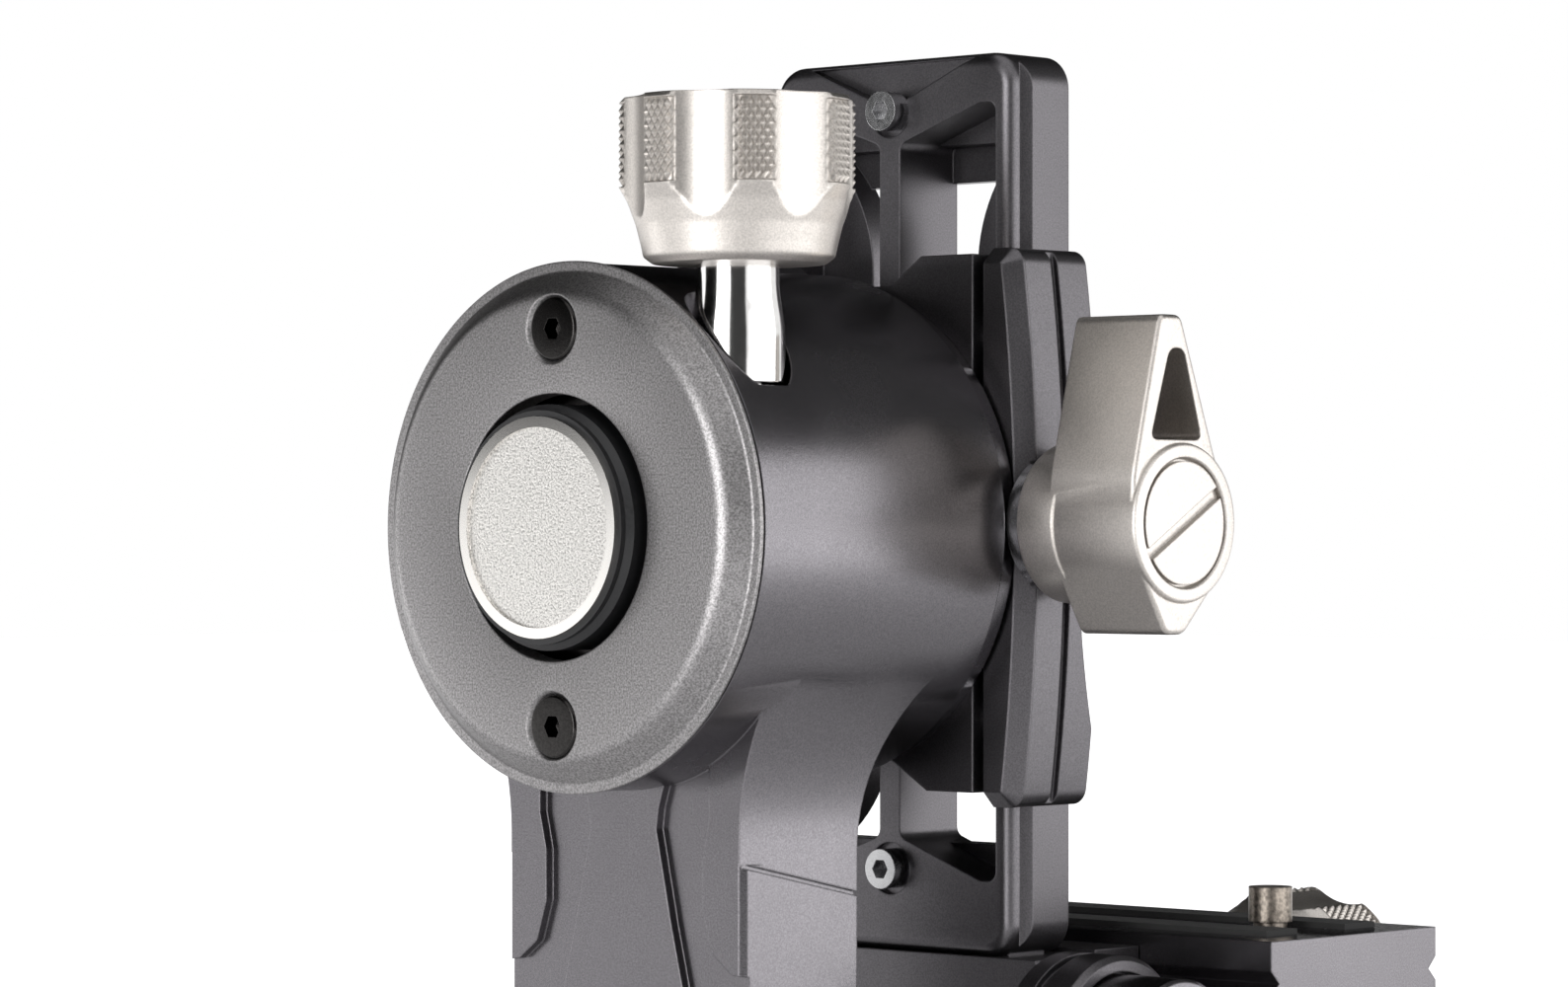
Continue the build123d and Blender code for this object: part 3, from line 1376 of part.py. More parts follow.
def pan_lock_knob():
    return pan_lock_place() * lock_knob()


def pan_pad():
    """Bronze pad between the lock screw and the pan shaft."""
    axis = facing((0, 0, pan_pad_height), (0, -1, 0), (1, 0, 0))
    back = pan_shaft_radius + pan_pad_length
    pad = axis * disc(pan_pad_radius, back)
    pad -= axis * disc(lock_screw_tip_radius + running_clearance, 20, back - lock_tip_length - screw_tip_float)
    return pad - disc(pan_shaft_radius + running_clearance, 100)


# -------------------------------------------------------------------- output
def save(name, shape, place=None):
    """Write one node: a solid, or a group of separate solids."""
    pieces = shape if isinstance(shape, list) else [shape]
    solids = [solid for piece in pieces for solid in piece.solids()]
    if place is not None:
        solids = [place * solid for solid in solids]
    node = solids[0] if len(solids) == 1 else Compound(solids)
    export_step(node, f"parts/{name}.step")


def main():
    os.makedirs("parts", exist_ok=True)
    inner, outer, balls = tilt_bearings()
    on_head = {
        "end_cap": end_cap(), "end_cap_screws": end_cap_screws(), "tilt_arm": tilt_arm(),
        "arm_screws": arm_screws(), "tilt_bearing_inner_rings": inner, "tilt_bearing_outer_rings": outer,
        "tilt_bearing_balls": balls, "tilt_shaft": tilt_shaft(), "tilt_brake_drum": tilt_brake_drum(),
        "axle_plug": axle_plug(), "badge_disc": badge_disc(), "tilt_lock_stem": tilt_lock_stem(),
        "tilt_lock_knob": tilt_lock_place() * lock_knob(), "tilt_pad": tilt_pad(),
        "clamp_base": clamp_base(), "hub_screws": hub_screws(), "clamp_jaw": clamp_jaw(),
        "jaw_guide_pins": jaw_guide_pins(), "clamp_spindle": clamp_spindle(), "thrust_washer": thrust_washer(),
        "clamp_lever": clamp_lever(), "lever_cap_screw": lever_cap_screw(), "swing_rail": swing_rail(),
        "rail_stop_screws": rail_stop_screws(), "platform_bracket": platform_bracket(),
        "bracket_screws": bracket_screws(), "platform_lock_stem": platform_lock_stem(),
        "platform_lock_knob": platform_lock_knob(), "platform_pad": platform_pad(), "qr_base": qr_base(),
        "qr_screws": qr_screws(),
        "qr_jaw": qr_jaw(), "qr_guide_pins": qr_guide_pins(), "qr_stem": qr_stem(), "qr_knob": qr_knob(),
        "lens_plate": lens_plate(), "plate_pads": plate_pads(), "camera_screw": camera_screw(),
    }
    inner, outer, balls = pan_bearings()
    on_base = {
        "base_plate": base_plate(), "base_screws": base_screws(), "thread_insert": thread_insert(),
        "degree_ring": degree_ring(), "pan_shaft": pan_shaft(), "pan_bearing_inner_rings": inner,
        "pan_bearing_outer_rings": outer, "pan_bearing_balls": balls, "pan_locknut": pan_locknut(),
        "lower_arm": lower_arm(), "pan_cap": pan_cap(), "pan_cap_screws": pan_cap_screws(),
        "pan_lock_stem": pan_lock_stem(), "pan_lock_knob": pan_lock_knob(), "pan_pad": pan_pad(),
    }
    for name, shape in on_head.items():
        save(name, shape, head)
    for name, shape in on_base.items():
        save(name, shape)


if __name__ == "__main__":
    main()
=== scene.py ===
"""Looks of the gimbal tripod head: finishes, finely modelled pieces, studio and camera."""

import json
from math import pi, radians, tau

import bmesh
import bpy
import numpy as np
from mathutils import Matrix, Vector

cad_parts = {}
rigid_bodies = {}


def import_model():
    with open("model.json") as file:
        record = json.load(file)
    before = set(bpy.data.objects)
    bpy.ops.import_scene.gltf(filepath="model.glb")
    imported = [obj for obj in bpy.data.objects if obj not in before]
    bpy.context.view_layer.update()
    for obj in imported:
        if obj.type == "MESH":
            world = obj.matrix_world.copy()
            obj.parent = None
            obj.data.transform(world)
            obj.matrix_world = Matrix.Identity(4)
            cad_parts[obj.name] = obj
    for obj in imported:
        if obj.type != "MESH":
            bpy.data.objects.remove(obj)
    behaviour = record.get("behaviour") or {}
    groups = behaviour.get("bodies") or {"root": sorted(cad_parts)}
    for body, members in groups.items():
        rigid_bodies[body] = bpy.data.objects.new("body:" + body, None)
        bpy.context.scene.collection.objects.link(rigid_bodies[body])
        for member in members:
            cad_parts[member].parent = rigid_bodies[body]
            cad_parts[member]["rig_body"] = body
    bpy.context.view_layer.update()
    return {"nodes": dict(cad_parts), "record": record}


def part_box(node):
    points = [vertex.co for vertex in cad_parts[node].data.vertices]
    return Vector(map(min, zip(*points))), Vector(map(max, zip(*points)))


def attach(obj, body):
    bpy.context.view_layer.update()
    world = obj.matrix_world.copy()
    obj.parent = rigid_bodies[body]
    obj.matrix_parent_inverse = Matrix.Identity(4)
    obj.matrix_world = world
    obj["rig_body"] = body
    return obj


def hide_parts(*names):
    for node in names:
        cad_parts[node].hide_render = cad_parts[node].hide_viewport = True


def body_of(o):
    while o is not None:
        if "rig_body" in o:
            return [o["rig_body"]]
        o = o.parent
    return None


bl_info = {
    "name": "Gimbal Head Looks",
    "version": (1, 0, 0),
    "blender": (4, 5, 0),
    "location": "3D View > Sidebar > Gimbal Head",
    "description": "Dresses a gimbal tripod head and sets up its studio",
    "category": "Object",
}

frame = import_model()
SLOTS = {part["node"]: part["material_slot"] for part in frame["record"]["subparts"]}

# places in metres: +X along the tilt axis, +Y along the lens, +Z up
MM = 0.001
CAP_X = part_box("end_cap")[0].x  # the end cap's outer face
TILT_Z = sum(corner.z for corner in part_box("end_cap")) / 2
LEVER_X, LEVER_Z = -0.04985, 0.1706  # the clamp lever's spindle, which runs along -Y
CAP_SCREW_REACH = 26.2 * MM  # from the tilt axis to each screw of the end cap

# CAD nodes by the group that is finished together
CASTINGS = ("tilt_arm", "lower_arm", "pan_cap", "base_plate", "degree_ring")
AXLE = ("tilt_shaft", "axle_plug", "badge_disc", "tilt_brake_drum")
CLAMP = ("clamp_base", "clamp_jaw", "clamp_spindle", "thrust_washer", "lever_cap_screw")
RAIL = ("swing_rail", "rail_stop_screws", "platform_bracket")
PLATFORM = ("qr_base", "qr_jaw", "lens_plate", "plate_pads", "camera_screw")
LOCKS = ("platform_lock_knob", "platform_lock_stem", "pan_lock_stem", "qr_stem")
SCREWS = ("arm_screws", "pan_cap_screws", "hub_screws", "bracket_screws", "qr_screws",
          "base_screws")

# knurled knobs, each with the direction from its foot to its crown
KNOBS = {"tilt_lock_knob": (0, 0, 1), "pan_lock_knob": (0, -1, 0), "qr_knob": (1, 0, 0)}

# nodes whose finish differs from the plain one of their slot
OWN_FINISH = {
    "end_cap": "cap_alloy",
    "clamp_base": "rail_alloy",
    "clamp_jaw": "rail_alloy",
    "swing_rail": "rail_alloy",
    "platform_bracket": "rail_alloy",
    "qr_base": "rail_alloy",
    "rail_stop_screws": "bearing_steel",
    "camera_screw": "brown_steel",
    "tilt_brake_drum": "black_steel",
}


# -------------------------------------------------------------------- settings
class HeadSizes(bpy.types.PropertyGroup):
    """Sizes of the modelled details."""

    flutes: bpy.props.IntProperty(
        name="Flutes", description="Finger flutes round a lock knob", default=7, min=3, max=12)
    flute_radius: bpy.props.FloatProperty(
        name="Flute radius", description="Radius of the cutter that makes a flute",
        default=10.3 * MM, unit="LENGTH")
    knurl_rows: bpy.props.IntProperty(
        name="Knurl rows", description="Half diamonds from the foot of a land to its top",
        default=12, min=2)
    knurl_depth: bpy.props.FloatProperty(
        name="Knurl depth", description="Depth of the cuts between the knurl's points",
        default=0.5 * MM, unit="LENGTH")
    lever_edge: bpy.props.FloatProperty(
        name="Lever edge", description="Rounding along the wing lever's front",
        default=0.7 * MM, unit="LENGTH")
    badge_rim: bpy.props.FloatProperty(
        name="Badge rim", description="Radius at which the badge's polished rim begins",
        default=13.2 * MM, unit="LENGTH")


class HeadColours(bpy.types.PropertyGroup):
    """Colours of the finishes."""

    black_alloy: bpy.props.FloatVectorProperty(
        name="Black alloy", description="Satin black anodised castings", subtype="COLOR", size=3,
        default=(0.178, 0.170, 0.181))
    cap_alloy: bpy.props.FloatVectorProperty(
        name="Cap alloy", description="Coarsely blasted grey end cap", subtype="COLOR", size=3,
        default=(0.29, 0.281, 0.283))
    clear_alloy: bpy.props.FloatVectorProperty(
        name="Clear alloy", description="Clear-anodised knobs and lever", subtype="COLOR", size=3,
        default=(0.61, 0.575, 0.54))
    steel: bpy.props.FloatVectorProperty(
        name="Steel", description="Polished stems and spindle", subtype="COLOR", size=3,
        default=(0.80, 0.79, 0.78))
    bearing_steel: bpy.props.FloatVectorProperty(
        name="Bearing steel", description="Ground rings, pins and stop screws", subtype="COLOR",
        size=3, default=(0.56, 0.56, 0.57))
    black_steel: bpy.props.FloatVectorProperty(
        name="Black steel", description="Oil-blacked screws", subtype="COLOR", size=3,
        default=(0.04, 0.038, 0.037))
    brown_steel: bpy.props.FloatVectorProperty(
        name="Brown steel", description="Browned camera screw", subtype="COLOR", size=3,
        default=(0.24, 0.21, 0.18))
    badge: bpy.props.FloatVectorProperty(
        name="Badge", description="Disc on the tilt axle", subtype="COLOR", size=3,
        default=(0.80, 0.78, 0.75))
    polymer: bpy.props.FloatVectorProperty(
        name="Polymer", description="Plug round the badge", subtype="COLOR", size=3,
        default=(0.012, 0.012, 0.013))
    bronze: bpy.props.FloatVectorProperty(
        name="Bronze", description="Brake pads", subtype="COLOR", size=3,
        default=(0.55, 0.38, 0.20))
    rubber: bpy.props.FloatVectorProperty(
        name="Rubber", description="Grip strips on the lens plate", subtype="COLOR", size=3,
        default=(0.03, 0.03, 0.03))


class StageSettings(bpy.types.PropertyGroup):
    """Camera and light levels."""

    lens: bpy.props.FloatProperty(
        name="Lens", description="Focal length in millimetres", default=117.88, unit="CAMERA")
    turn: bpy.props.FloatProperty(
        name="Turn", description="Camera's turn from the tilt axis", default=radians(43.2),
        subtype="ANGLE")
    camera_x: bpy.props.FloatProperty(
        name="Camera X", description="Camera's place along the tilt axis", default=-0.58135,
        unit="LENGTH")
    camera_y: bpy.props.FloatProperty(
        name="Camera Y", description="Camera's place along the lens axis", default=-0.48459,
        unit="LENGTH")
    camera_height: bpy.props.FloatProperty(
        name="Camera height", description="Camera above the floor", default=0.16942,
        unit="LENGTH")
    rise: bpy.props.FloatProperty(
        name="Rise", description="Upward shift of the picture, as a share of its width",
        default=0.02456, subtype="FACTOR", min=-0.5, max=0.5)
    near_floor: bpy.props.FloatProperty(
        name="Near floor", description="Floor's own glow under the head", default=0.25,
        subtype="FACTOR", min=0.0, max=1.0)
    far_floor: bpy.props.FloatProperty(
        name="Far floor", description="Floor's own glow a metre away", default=0.94,
        subtype="FACTOR", min=0.0, max=1.0)
    world_level: bpy.props.FloatProperty(
        name="World level", description="Strength of the white surroundings as a light",
        default=0.35, subtype="FACTOR", min=0.0, max=1.0)


# ------------------------------------------------------------------- materials
MATERIALS = {}
MIX_FIRST, MIX_SECOND, MIX_RESULT = 6, 7, 2  # colour sockets of a Mix node
KNURL_PAINTED_SHADE = (0.62, 0.61, 0.60, 1.0)  # painted shade: darkening in the cuts of a knurl, where shade would fall
RAIL_SHADE = 0.75  # the rail's alloy against the castings'
FINE_EDGE = 0.15 * MM  # rounding seen on polished edges
MARKS_SCALE = 900.0  # turning marks on polished metal
PITS_SCALE = 3200.0  # hammer pits on the badge
DRIFT_SCALE = 90.0  # slow drift of roughness over a blasted face
DRIFT = 0.02


def new_material(name):
    """Empty material with a Principled shader: returns material, nodes, links, shader."""
    material = bpy.data.materials.new(name)
    material.use_nodes = True
    nodes = material.node_tree.nodes
    links = material.node_tree.links
    return material, nodes, links, nodes["Principled BSDF"]


def add(nodes, kind, **values):
    """Node with its settings and input defaults."""
    node = nodes.new(kind)
    for key, value in values.items():
        if key in node.inputs:
            node.inputs[key].default_value = value
        else:
            setattr(node, key, value)
    return node


def noise(nodes, links, scale, detail=2.0):
    """Noise on object coordinates."""
    place = nodes.new("ShaderNodeTexCoord")
    texture = add(nodes, "ShaderNodeTexNoise", Scale=scale, Detail=detail)
    links.new(place.outputs["Object"], texture.inputs["Vector"])
    return texture.outputs["Fac"]


def ramp(nodes, links, factor, stops):
    """Colour ramp with two (position, grey or colour) stops."""
    node = nodes.new("ShaderNodeValToRGB")
    links.new(factor, node.inputs["Fac"])
    for element, (position, colour) in zip(node.color_ramp.elements, stops):
        element.position = position
        grey = not hasattr(colour, "__len__")
        element.color = (colour, colour, colour, 1.0) if grey else (*colour, 1.0)
    return node.outputs["Color"]


def spread_over(nodes, links, value, span, result):
    """Clamped straight-line map of a value from one span to another."""
    keys = ("From Min", "From Max", "To Min", "To Max")
    node = add(nodes, "ShaderNodeMapRange", **dict(zip(keys, (*span, *result))))
    links.new(value, node.inputs["Value"])
    return node.outputs["Result"]


def shade(colour, factor):
    """The colour made lighter or darker, held at white."""
    return tuple(min(1.0, channel * factor) for channel in colour)


def soft_edges(nodes, radius):
    """Normal that is rounded across sharp edges."""
    bevel = add(nodes, "ShaderNodeBevel", Radius=radius)
    bevel.samples = 4
    return bevel.outputs["Normal"]


def blasted(name, colour, roughness, grain=4200.0, strength=0.25, spread=0.16, edge=0.35):
    """Bead-blasted anodised alloy with softly rounded edges.

    A fine noise of scale grain lightens and darkens the colour by spread and lifts
    the bump by strength, and a wide one moves the roughness. A point attribute paints
    shade into the cuts of knurls. edge is the rounding of sharp edges in millimetres.
    """
    material, nodes, links, shader = new_material(name)
    shader.inputs["Metallic"].default_value = 1.0
    fine = noise(nodes, links, grain, 3.0)
    wide = noise(nodes, links, DRIFT_SCALE, 3.0)
    grains = ramp(nodes, links, fine,
                  [(0.34, shade(colour, 1 - spread)), (0.66, shade(colour, 1 + spread))])
    # painted shade: a point attribute darkens the colour in the cuts of knurls
    painted_valley_shade = nodes.new("ShaderNodeAttribute")
    painted_valley_shade.attribute_name = "painted_valley_shade"
    painted_shade_mix = add(nodes, "ShaderNodeMix", data_type="RGBA", blend_type="MULTIPLY")
    painted_shade_mix.inputs[MIX_SECOND].default_value = KNURL_PAINTED_SHADE
    links.new(painted_valley_shade.outputs["Fac"], painted_shade_mix.inputs["Factor"])
    links.new(grains, painted_shade_mix.inputs[MIX_FIRST])
    links.new(painted_shade_mix.outputs[MIX_RESULT], shader.inputs["Base Color"])
    rough = ramp(nodes, links, wide, [(0.3, roughness - DRIFT), (0.7, roughness + DRIFT)])
    links.new(rough, shader.inputs["Roughness"])
    bump = add(nodes, "ShaderNodeBump", Strength=strength, Distance=0.04 * MM)
    links.new(fine, bump.inputs["Height"])
    links.new(soft_edges(nodes, edge * MM), bump.inputs["Normal"])
    links.new(bump.outputs["Normal"], shader.inputs["Normal"])
    return material


def polished(name, colour, roughness, brushing=0.02):
    """Turned and polished metal with faint turning marks."""
    material, nodes, links, shader = new_material(name)
    shader.inputs["Metallic"].default_value = 1.0
    marks = noise(nodes, links, MARKS_SCALE)
    tone = ramp(nodes, links, marks, [(0.3, shade(colour, 0.96)), (0.7, shade(colour, 1.03))])
    links.new(tone, shader.inputs["Base Color"])
    rough = ramp(nodes, links, marks, [(0.3, roughness), (0.7, roughness + brushing)])
    links.new(rough, shader.inputs["Roughness"])
    links.new(soft_edges(nodes, FINE_EDGE), shader.inputs["Normal"])
    return material


def hammered(name, colour, rim):
    """Badge metal: finely pitted nearer the tilt axis than the rim, polished beyond it."""
    material, nodes, links, shader = new_material(name)
    shader.inputs["Metallic"].default_value = 1.0
    pits = noise(nodes, links, PITS_SCALE, 4.0)
    place = nodes.new("ShaderNodeTexCoord")
    flat = add(nodes, "ShaderNodeMapping", Location=(0, 0, -TILT_Z), Scale=(0, 1, 1))
    links.new(place.outputs["Object"], flat.inputs["Vector"])
    reach = add(nodes, "ShaderNodeVectorMath", operation="LENGTH")
    links.new(flat.outputs["Vector"], reach.inputs[0])
    less = add(nodes, "ShaderNodeMath", operation="LESS_THAN")
    less.inputs[1].default_value = rim
    links.new(reach.outputs["Value"], less.inputs[0])
    inside = less.outputs[0]
    tone = ramp(nodes, links, pits, [(0.36, shade(colour, 0.60)), (0.54, shade(colour, 1.08))])
    finish = add(nodes, "ShaderNodeMix", data_type="RGBA")
    finish.inputs[MIX_FIRST].default_value = (*shade(colour, 1.2), 1.0)
    links.new(inside, finish.inputs["Factor"])
    links.new(tone, finish.inputs[MIX_SECOND])
    links.new(finish.outputs[MIX_RESULT], shader.inputs["Base Color"])
    rough = spread_over(nodes, links, inside, (0.0, 1.0), (0.12, 0.36))
    links.new(rough, shader.inputs["Roughness"])
    bump = add(nodes, "ShaderNodeBump", Distance=0.08 * MM)
    links.new(inside, bump.inputs["Strength"])
    links.new(pits, bump.inputs["Height"])
    links.new(bump.outputs["Normal"], shader.inputs["Normal"])
    return material


def moulded(name, colour, roughness, grain=2500.0, strength=0.15):
    """Matte polymer or rubber with a fine grain."""
    material, nodes, links, shader = new_material(name)
    fine = noise(nodes, links, grain)
    tone = ramp(nodes, links, fine, [(0.3, shade(colour, 0.85)), (0.7, shade(colour, 1.2))])
    links.new(tone, shader.inputs["Base Color"])
    rough = ramp(nodes, links, fine, [(0.3, roughness - 0.05), (0.7, roughness + 0.05)])
    links.new(rough, shader.inputs["Roughness"])
    bump = add(nodes, "ShaderNodeBump", Strength=strength, Distance=0.05 * MM)
    links.new(fine, bump.inputs["Height"])
    links.new(bump.outputs["Normal"], shader.inputs["Normal"])
    return material


def make_materials(colours, sizes):
    """A finish for each material slot of the record, and those that single parts have."""
    MATERIALS.update(
        black_alloy=blasted(
            "black_alloy", colours.black_alloy, roughness=0.26, strength=0.2),
        rail_alloy=blasted(
            "rail_alloy", shade(colours.black_alloy, RAIL_SHADE), roughness=0.36),
        cap_alloy=blasted(
            "cap_alloy", colours.cap_alloy,
            roughness=0.40, grain=3600.0, strength=0.4, spread=0.36),
        clear_alloy=blasted(
            "clear_alloy", colours.clear_alloy,
            roughness=0.38, grain=3800.0, strength=0.35, spread=0.12),
        black_steel=blasted(
            "black_steel", colours.black_steel,
            roughness=0.2, grain=3000.0, strength=0.15, spread=0.2, edge=0.12),
        brown_steel=blasted(
            "brown_steel", colours.brown_steel,
            roughness=0.38, grain=1500.0, strength=0.6, spread=0.4),
        polished_steel=polished("polished_steel", colours.steel, roughness=0.10),
        bearing_steel=polished(
            "bearing_steel", colours.bearing_steel, roughness=0.22, brushing=0.06),
        bronze_pad=polished("bronze_pad", colours.bronze, roughness=0.3, brushing=0.08),
        nickel_badge=hammered("nickel_badge", colours.badge, sizes.badge_rim),
        black_polymer=moulded("black_polymer", colours.polymer, roughness=0.42),
        rubber_strip=moulded(
            "rubber_strip", colours.rubber, roughness=0.75, grain=900.0, strength=0.5),
    )


# -------------------------------------------------------------------- surfaces
MERGE_GAP = 1e-7  # metres between points that are one
CAD_GAP = 2e-7  # the same between the loose triangles of a CAD mesh
FLAT_ANGLE = 0.4  # degrees up to which a CAD mesh's triangles are one flat face
BEND_SHARE = 0.45  # most of a run that a bend may take from one of its ends
LATHE_SEGMENTS = 256

# degrees above which two faces meet in a crisp edge
CAD_CRISP = 28.0
TURNED_CRISP = 30.0
LEVER_CRISP = 32.0
KNURL_CRISP = 18.0


def body_name(node):
    """Body that a CAD node rides on."""
    bodies = body_of(frame["nodes"][node])
    return bodies if isinstance(bodies, str) else bodies[0]


def settle(name, mesh, node):
    """Object of a mesh that takes a CAD node's place: it gets the finish of the node or of its
    slot and rides on the node's body, and the node is hidden.
    """
    mesh.polygons.foreach_set("use_smooth", np.ones(len(mesh.polygons), bool))
    mesh.materials.append(MATERIALS[OWN_FINISH.get(node, SLOTS[node])])
    piece = bpy.data.objects.new(name, mesh)
    bpy.context.scene.collection.objects.link(piece)
    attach(piece, body_name(node))
    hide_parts(node)
    return piece


def build(name, points, faces, node):
    """Piece made from points in metres and their faces, closed and facing outwards."""
    mesh = bpy.data.meshes.new(name)
    mesh.from_pydata(points, [], faces)
    piece = settle(name, mesh, node)
    tidy(piece)
    return piece


def tidy(piece):
    """Merges the points of poles and seams and turns every face outwards."""
    shape = bmesh.new()
    shape.from_mesh(piece.data)
    bmesh.ops.remove_doubles(shape, verts=shape.verts, dist=MERGE_GAP)
    bmesh.ops.dissolve_degenerate(shape, edges=shape.edges, dist=MERGE_GAP)
    bmesh.ops.recalc_face_normals(shape, faces=shape.faces)
    shape.to_mesh(piece.data)
    shape.free()
    piece.data.polygons.foreach_set("use_smooth", np.ones(len(piece.data.polygons), bool))


def crisp_edges(shape, angle):
    """Marks the edges whose faces meet at more than the angle, in degrees, as sharp."""
    for line in shape.edges:
        line.smooth = line.is_manifold and line.calc_face_angle(0.0) < radians(angle)


def smooth_by_angle(piece, angle):
    """Smooth shading that stays crisp where two faces meet at more than the angle."""
    shape = bmesh.new()
    shape.from_mesh(piece.data)
    crisp_edges(shape, angle)
    shape.to_mesh(piece.data)
    shape.free()


def cut(piece, points, faces, operation="DIFFERENCE"):
    """Takes a closed shape out of a piece for good, or joins it on."""
    mesh = bpy.data.meshes.new("cutter")
    mesh.from_pydata(points, [], faces)
    cutter = bpy.data.objects.new("cutter", mesh)
    bpy.context.scene.collection.objects.link(cutter)
    tidy(cutter)
    opening = piece.modifiers.new("Opening", "BOOLEAN")
    opening.object = cutter
    opening.solver = "EXACT"
    opening.operation = operation
    bpy.context.view_layer.update()
    whole = piece.evaluated_get(bpy.context.evaluated_depsgraph_get())
    piece.data = bpy.data.meshes.new_from_object(whole)
    piece.modifiers.clear()
    bpy.data.objects.remove(cutter)


def grid_faces(rows, columns, wrap_rows=False, wrap_columns=True):
    """Quads of a rows x columns grid of points, joined end to end where it wraps."""
    row_count = rows if wrap_rows else rows - 1
    column_count = columns if wrap_columns else columns - 1
    i, j = np.meshgrid(np.arange(row_count), np.arange(column_count), indexing="ij")
    right = (j + 1) % columns
    below = (i + 1) % rows
    corners = (i * columns + j, i * columns + right, below * columns + right, below * columns + j)
    return np.stack(corners, axis=-1).reshape(-1, 4)


def rounded(corners, cuts, steps=4):
    """Profile whose inner corners are bends.

    Each corner is cut back along both runs and joined by a quadratic curve that
    the corner pulls: (1 - t)^2 start + 2 t (1 - t) corner + t^2 end. cuts is one
    length for all corners or one for each.
    """
    corners = np.asarray(corners, float)
    cuts = np.broadcast_to(cuts, len(corners))
    t = np.linspace(0, 1, steps + 1)[:, None]
    runs = [corners[:1]]
    for before, corner, after, wanted in zip(corners[:-2], corners[1:-1], corners[2:], cuts[1:-1]):
        to_before, to_after = before - corner, after - corner
        length_before, length_after = np.linalg.norm(to_before), np.linalg.norm(to_after)
        cut_back = min(wanted, BEND_SHARE * length_before, BEND_SHARE * length_after)
        start = corner + to_before / length_before * cut_back
        end = corner + to_after / length_after * cut_back
        runs.append((1 - t) ** 2 * start + 2 * t * (1 - t) * corner + t ** 2 * end)
    runs.append(corners[-1:])
    return np.vstack(runs)


def bent(corners, cuts, steps=5):
    """Closed outline with the same bends at all its corners."""
    corners = np.asarray(corners, float)
    ring = np.vstack([corners[-1:], corners, corners[:1]])
    return rounded(ring, cuts, steps)[1:-1]


def axes_of(direction):
    """Two unit vectors across a row axis, right-handed with it."""
    z = np.array(direction, float)
    x = np.roll(np.abs(z), 1)
    return x, np.cross(z, x), z


def turned(profile, origin, direction, segments, closed=False):
    """Points and faces turned about an axis.

    Each (radius, height) of the profile, in millimetres from origin, is carried
    round a circle: origin + radius (cos a x + sin a y) + height z.
    """
    profile = np.asarray(profile, float)
    x, y, z = axes_of(direction)
    angle = np.linspace(0, tau, segments, endpoint=False)
    ring = np.cos(angle)[:, None] * x + np.sin(angle)[:, None] * y
    points = profile[:, None, 0, None] * ring[None] + profile[:, None, 1, None] * z
    faces = grid_faces(len(profile), segments, wrap_rows=closed).tolist()
    return (points * MM + np.array(origin)).reshape(-1, 3), faces


def lathe(node, table, origin, direction, closed):
    """Turned piece in a CAD node's place, from rows of radius, height and bend.

    A closed profile makes a ring and an open one ends on the axis.
    """
    corners, cuts = np.array(table, float)[:, :2], np.array(table, float)[:, 2]
    if closed:
        middle = (corners[0] + corners[-1]) / 2
        profile = rounded(np.vstack([middle, corners, middle]), [0, *cuts, 0])[:-1]
    else:
        profile = rounded(corners, cuts)
    points, faces = turned(profile, origin, direction, LATHE_SEGMENTS, closed)
    return build(node + "_turned", points, faces, node)


def prism(outline, low, high, edge, steps=5):
    """Upright block over a closed outline with its upper edge rounded.

    Each ring of the rounding is the outline moved inwards along its normals by
    edge * (1 - cos t) and up by edge * sin t, for t from 0 to a quarter turn.
    Returns points (x, y, height) in millimetres and faces.
    """
    along = np.roll(outline, -1, axis=0) - np.roll(outline, 1, axis=0)
    length = np.linalg.norm(along, axis=1)[:, None]
    inward = np.stack([-along[:, 1], along[:, 0]], axis=-1) / length
    turn = np.linspace(0, pi / 2, steps + 1)
    shift = np.concatenate([[0], edge * (1 - np.cos(turn))])
    level = np.concatenate([[low], high - edge + edge * np.sin(turn)])
    rings = outline[None] + shift[:, None, None] * inward[None]
    heights = np.broadcast_to(level[:, None, None], rings.shape[:2] + (1,))
    points = np.concatenate([rings, heights], axis=-1).reshape(-1, 3)
    count, rows = len(outline), len(level)
    faces = grid_faces(rows, count).tolist()
    faces.append(list(range(count))[::-1])
    faces.append(list(range((rows - 1) * count, rows * count)))
    return points, faces


def machined(node):
    """Copy of a CAD node with whole flat faces, smooth across gentle bends."""
    shape = bmesh.new()
    shape.from_mesh(frame["nodes"][node].data)
    bmesh.ops.remove_doubles(shape, verts=shape.verts, dist=CAD_GAP)
    bmesh.ops.dissolve_limit(
        shape, angle_limit=radians(FLAT_ANGLE), verts=shape.verts, edges=shape.edges)
    crisp_edges(shape, CAD_CRISP)
    mesh = bpy.data.meshes.new(node + "_finish")
    shape.to_mesh(mesh)
    shape.free()
    return settle(node + "_finish", mesh, node)


def dress(nodes):
    """Finely finished copies of a group of CAD nodes."""
    for node in nodes:
        machined(node)


# ------------------------------------------------------------- the knurled knobs
# millimetres about the knob's own axis, heights from its foot
KNOB_FOOT = [(0, 0), (11.3, 0), (12.5, 0.9), (12.75, 2.2)]
TAPER_HEIGHTS = (2.2, 5.0, 8.0, 10.0)
TAPER_RADII = (12.75, 13.45, 14.55, 15.65)
TAPER_SPAN = (2.5, 10.0)
TAPER_ROWS = 26
LAND_SPAN = (10.1, 20.8)
KNOB_RADIUS = 15.65
KNOB_CROWN = [(KNOB_RADIUS, 20.8), (15.6, 20.95), (14.95, 21.6), (0, 21.6)]
LAND_ANGLE = radians(21.0)
LAND_STEPS = 10  # half diamonds across a land
FLUTE_STEPS = 28
FLUTE_CENTRE = 24.0  # from the knob's axis to a flute's
KNURL_CREST = 0.05  # points stand this far above the land's turned edge


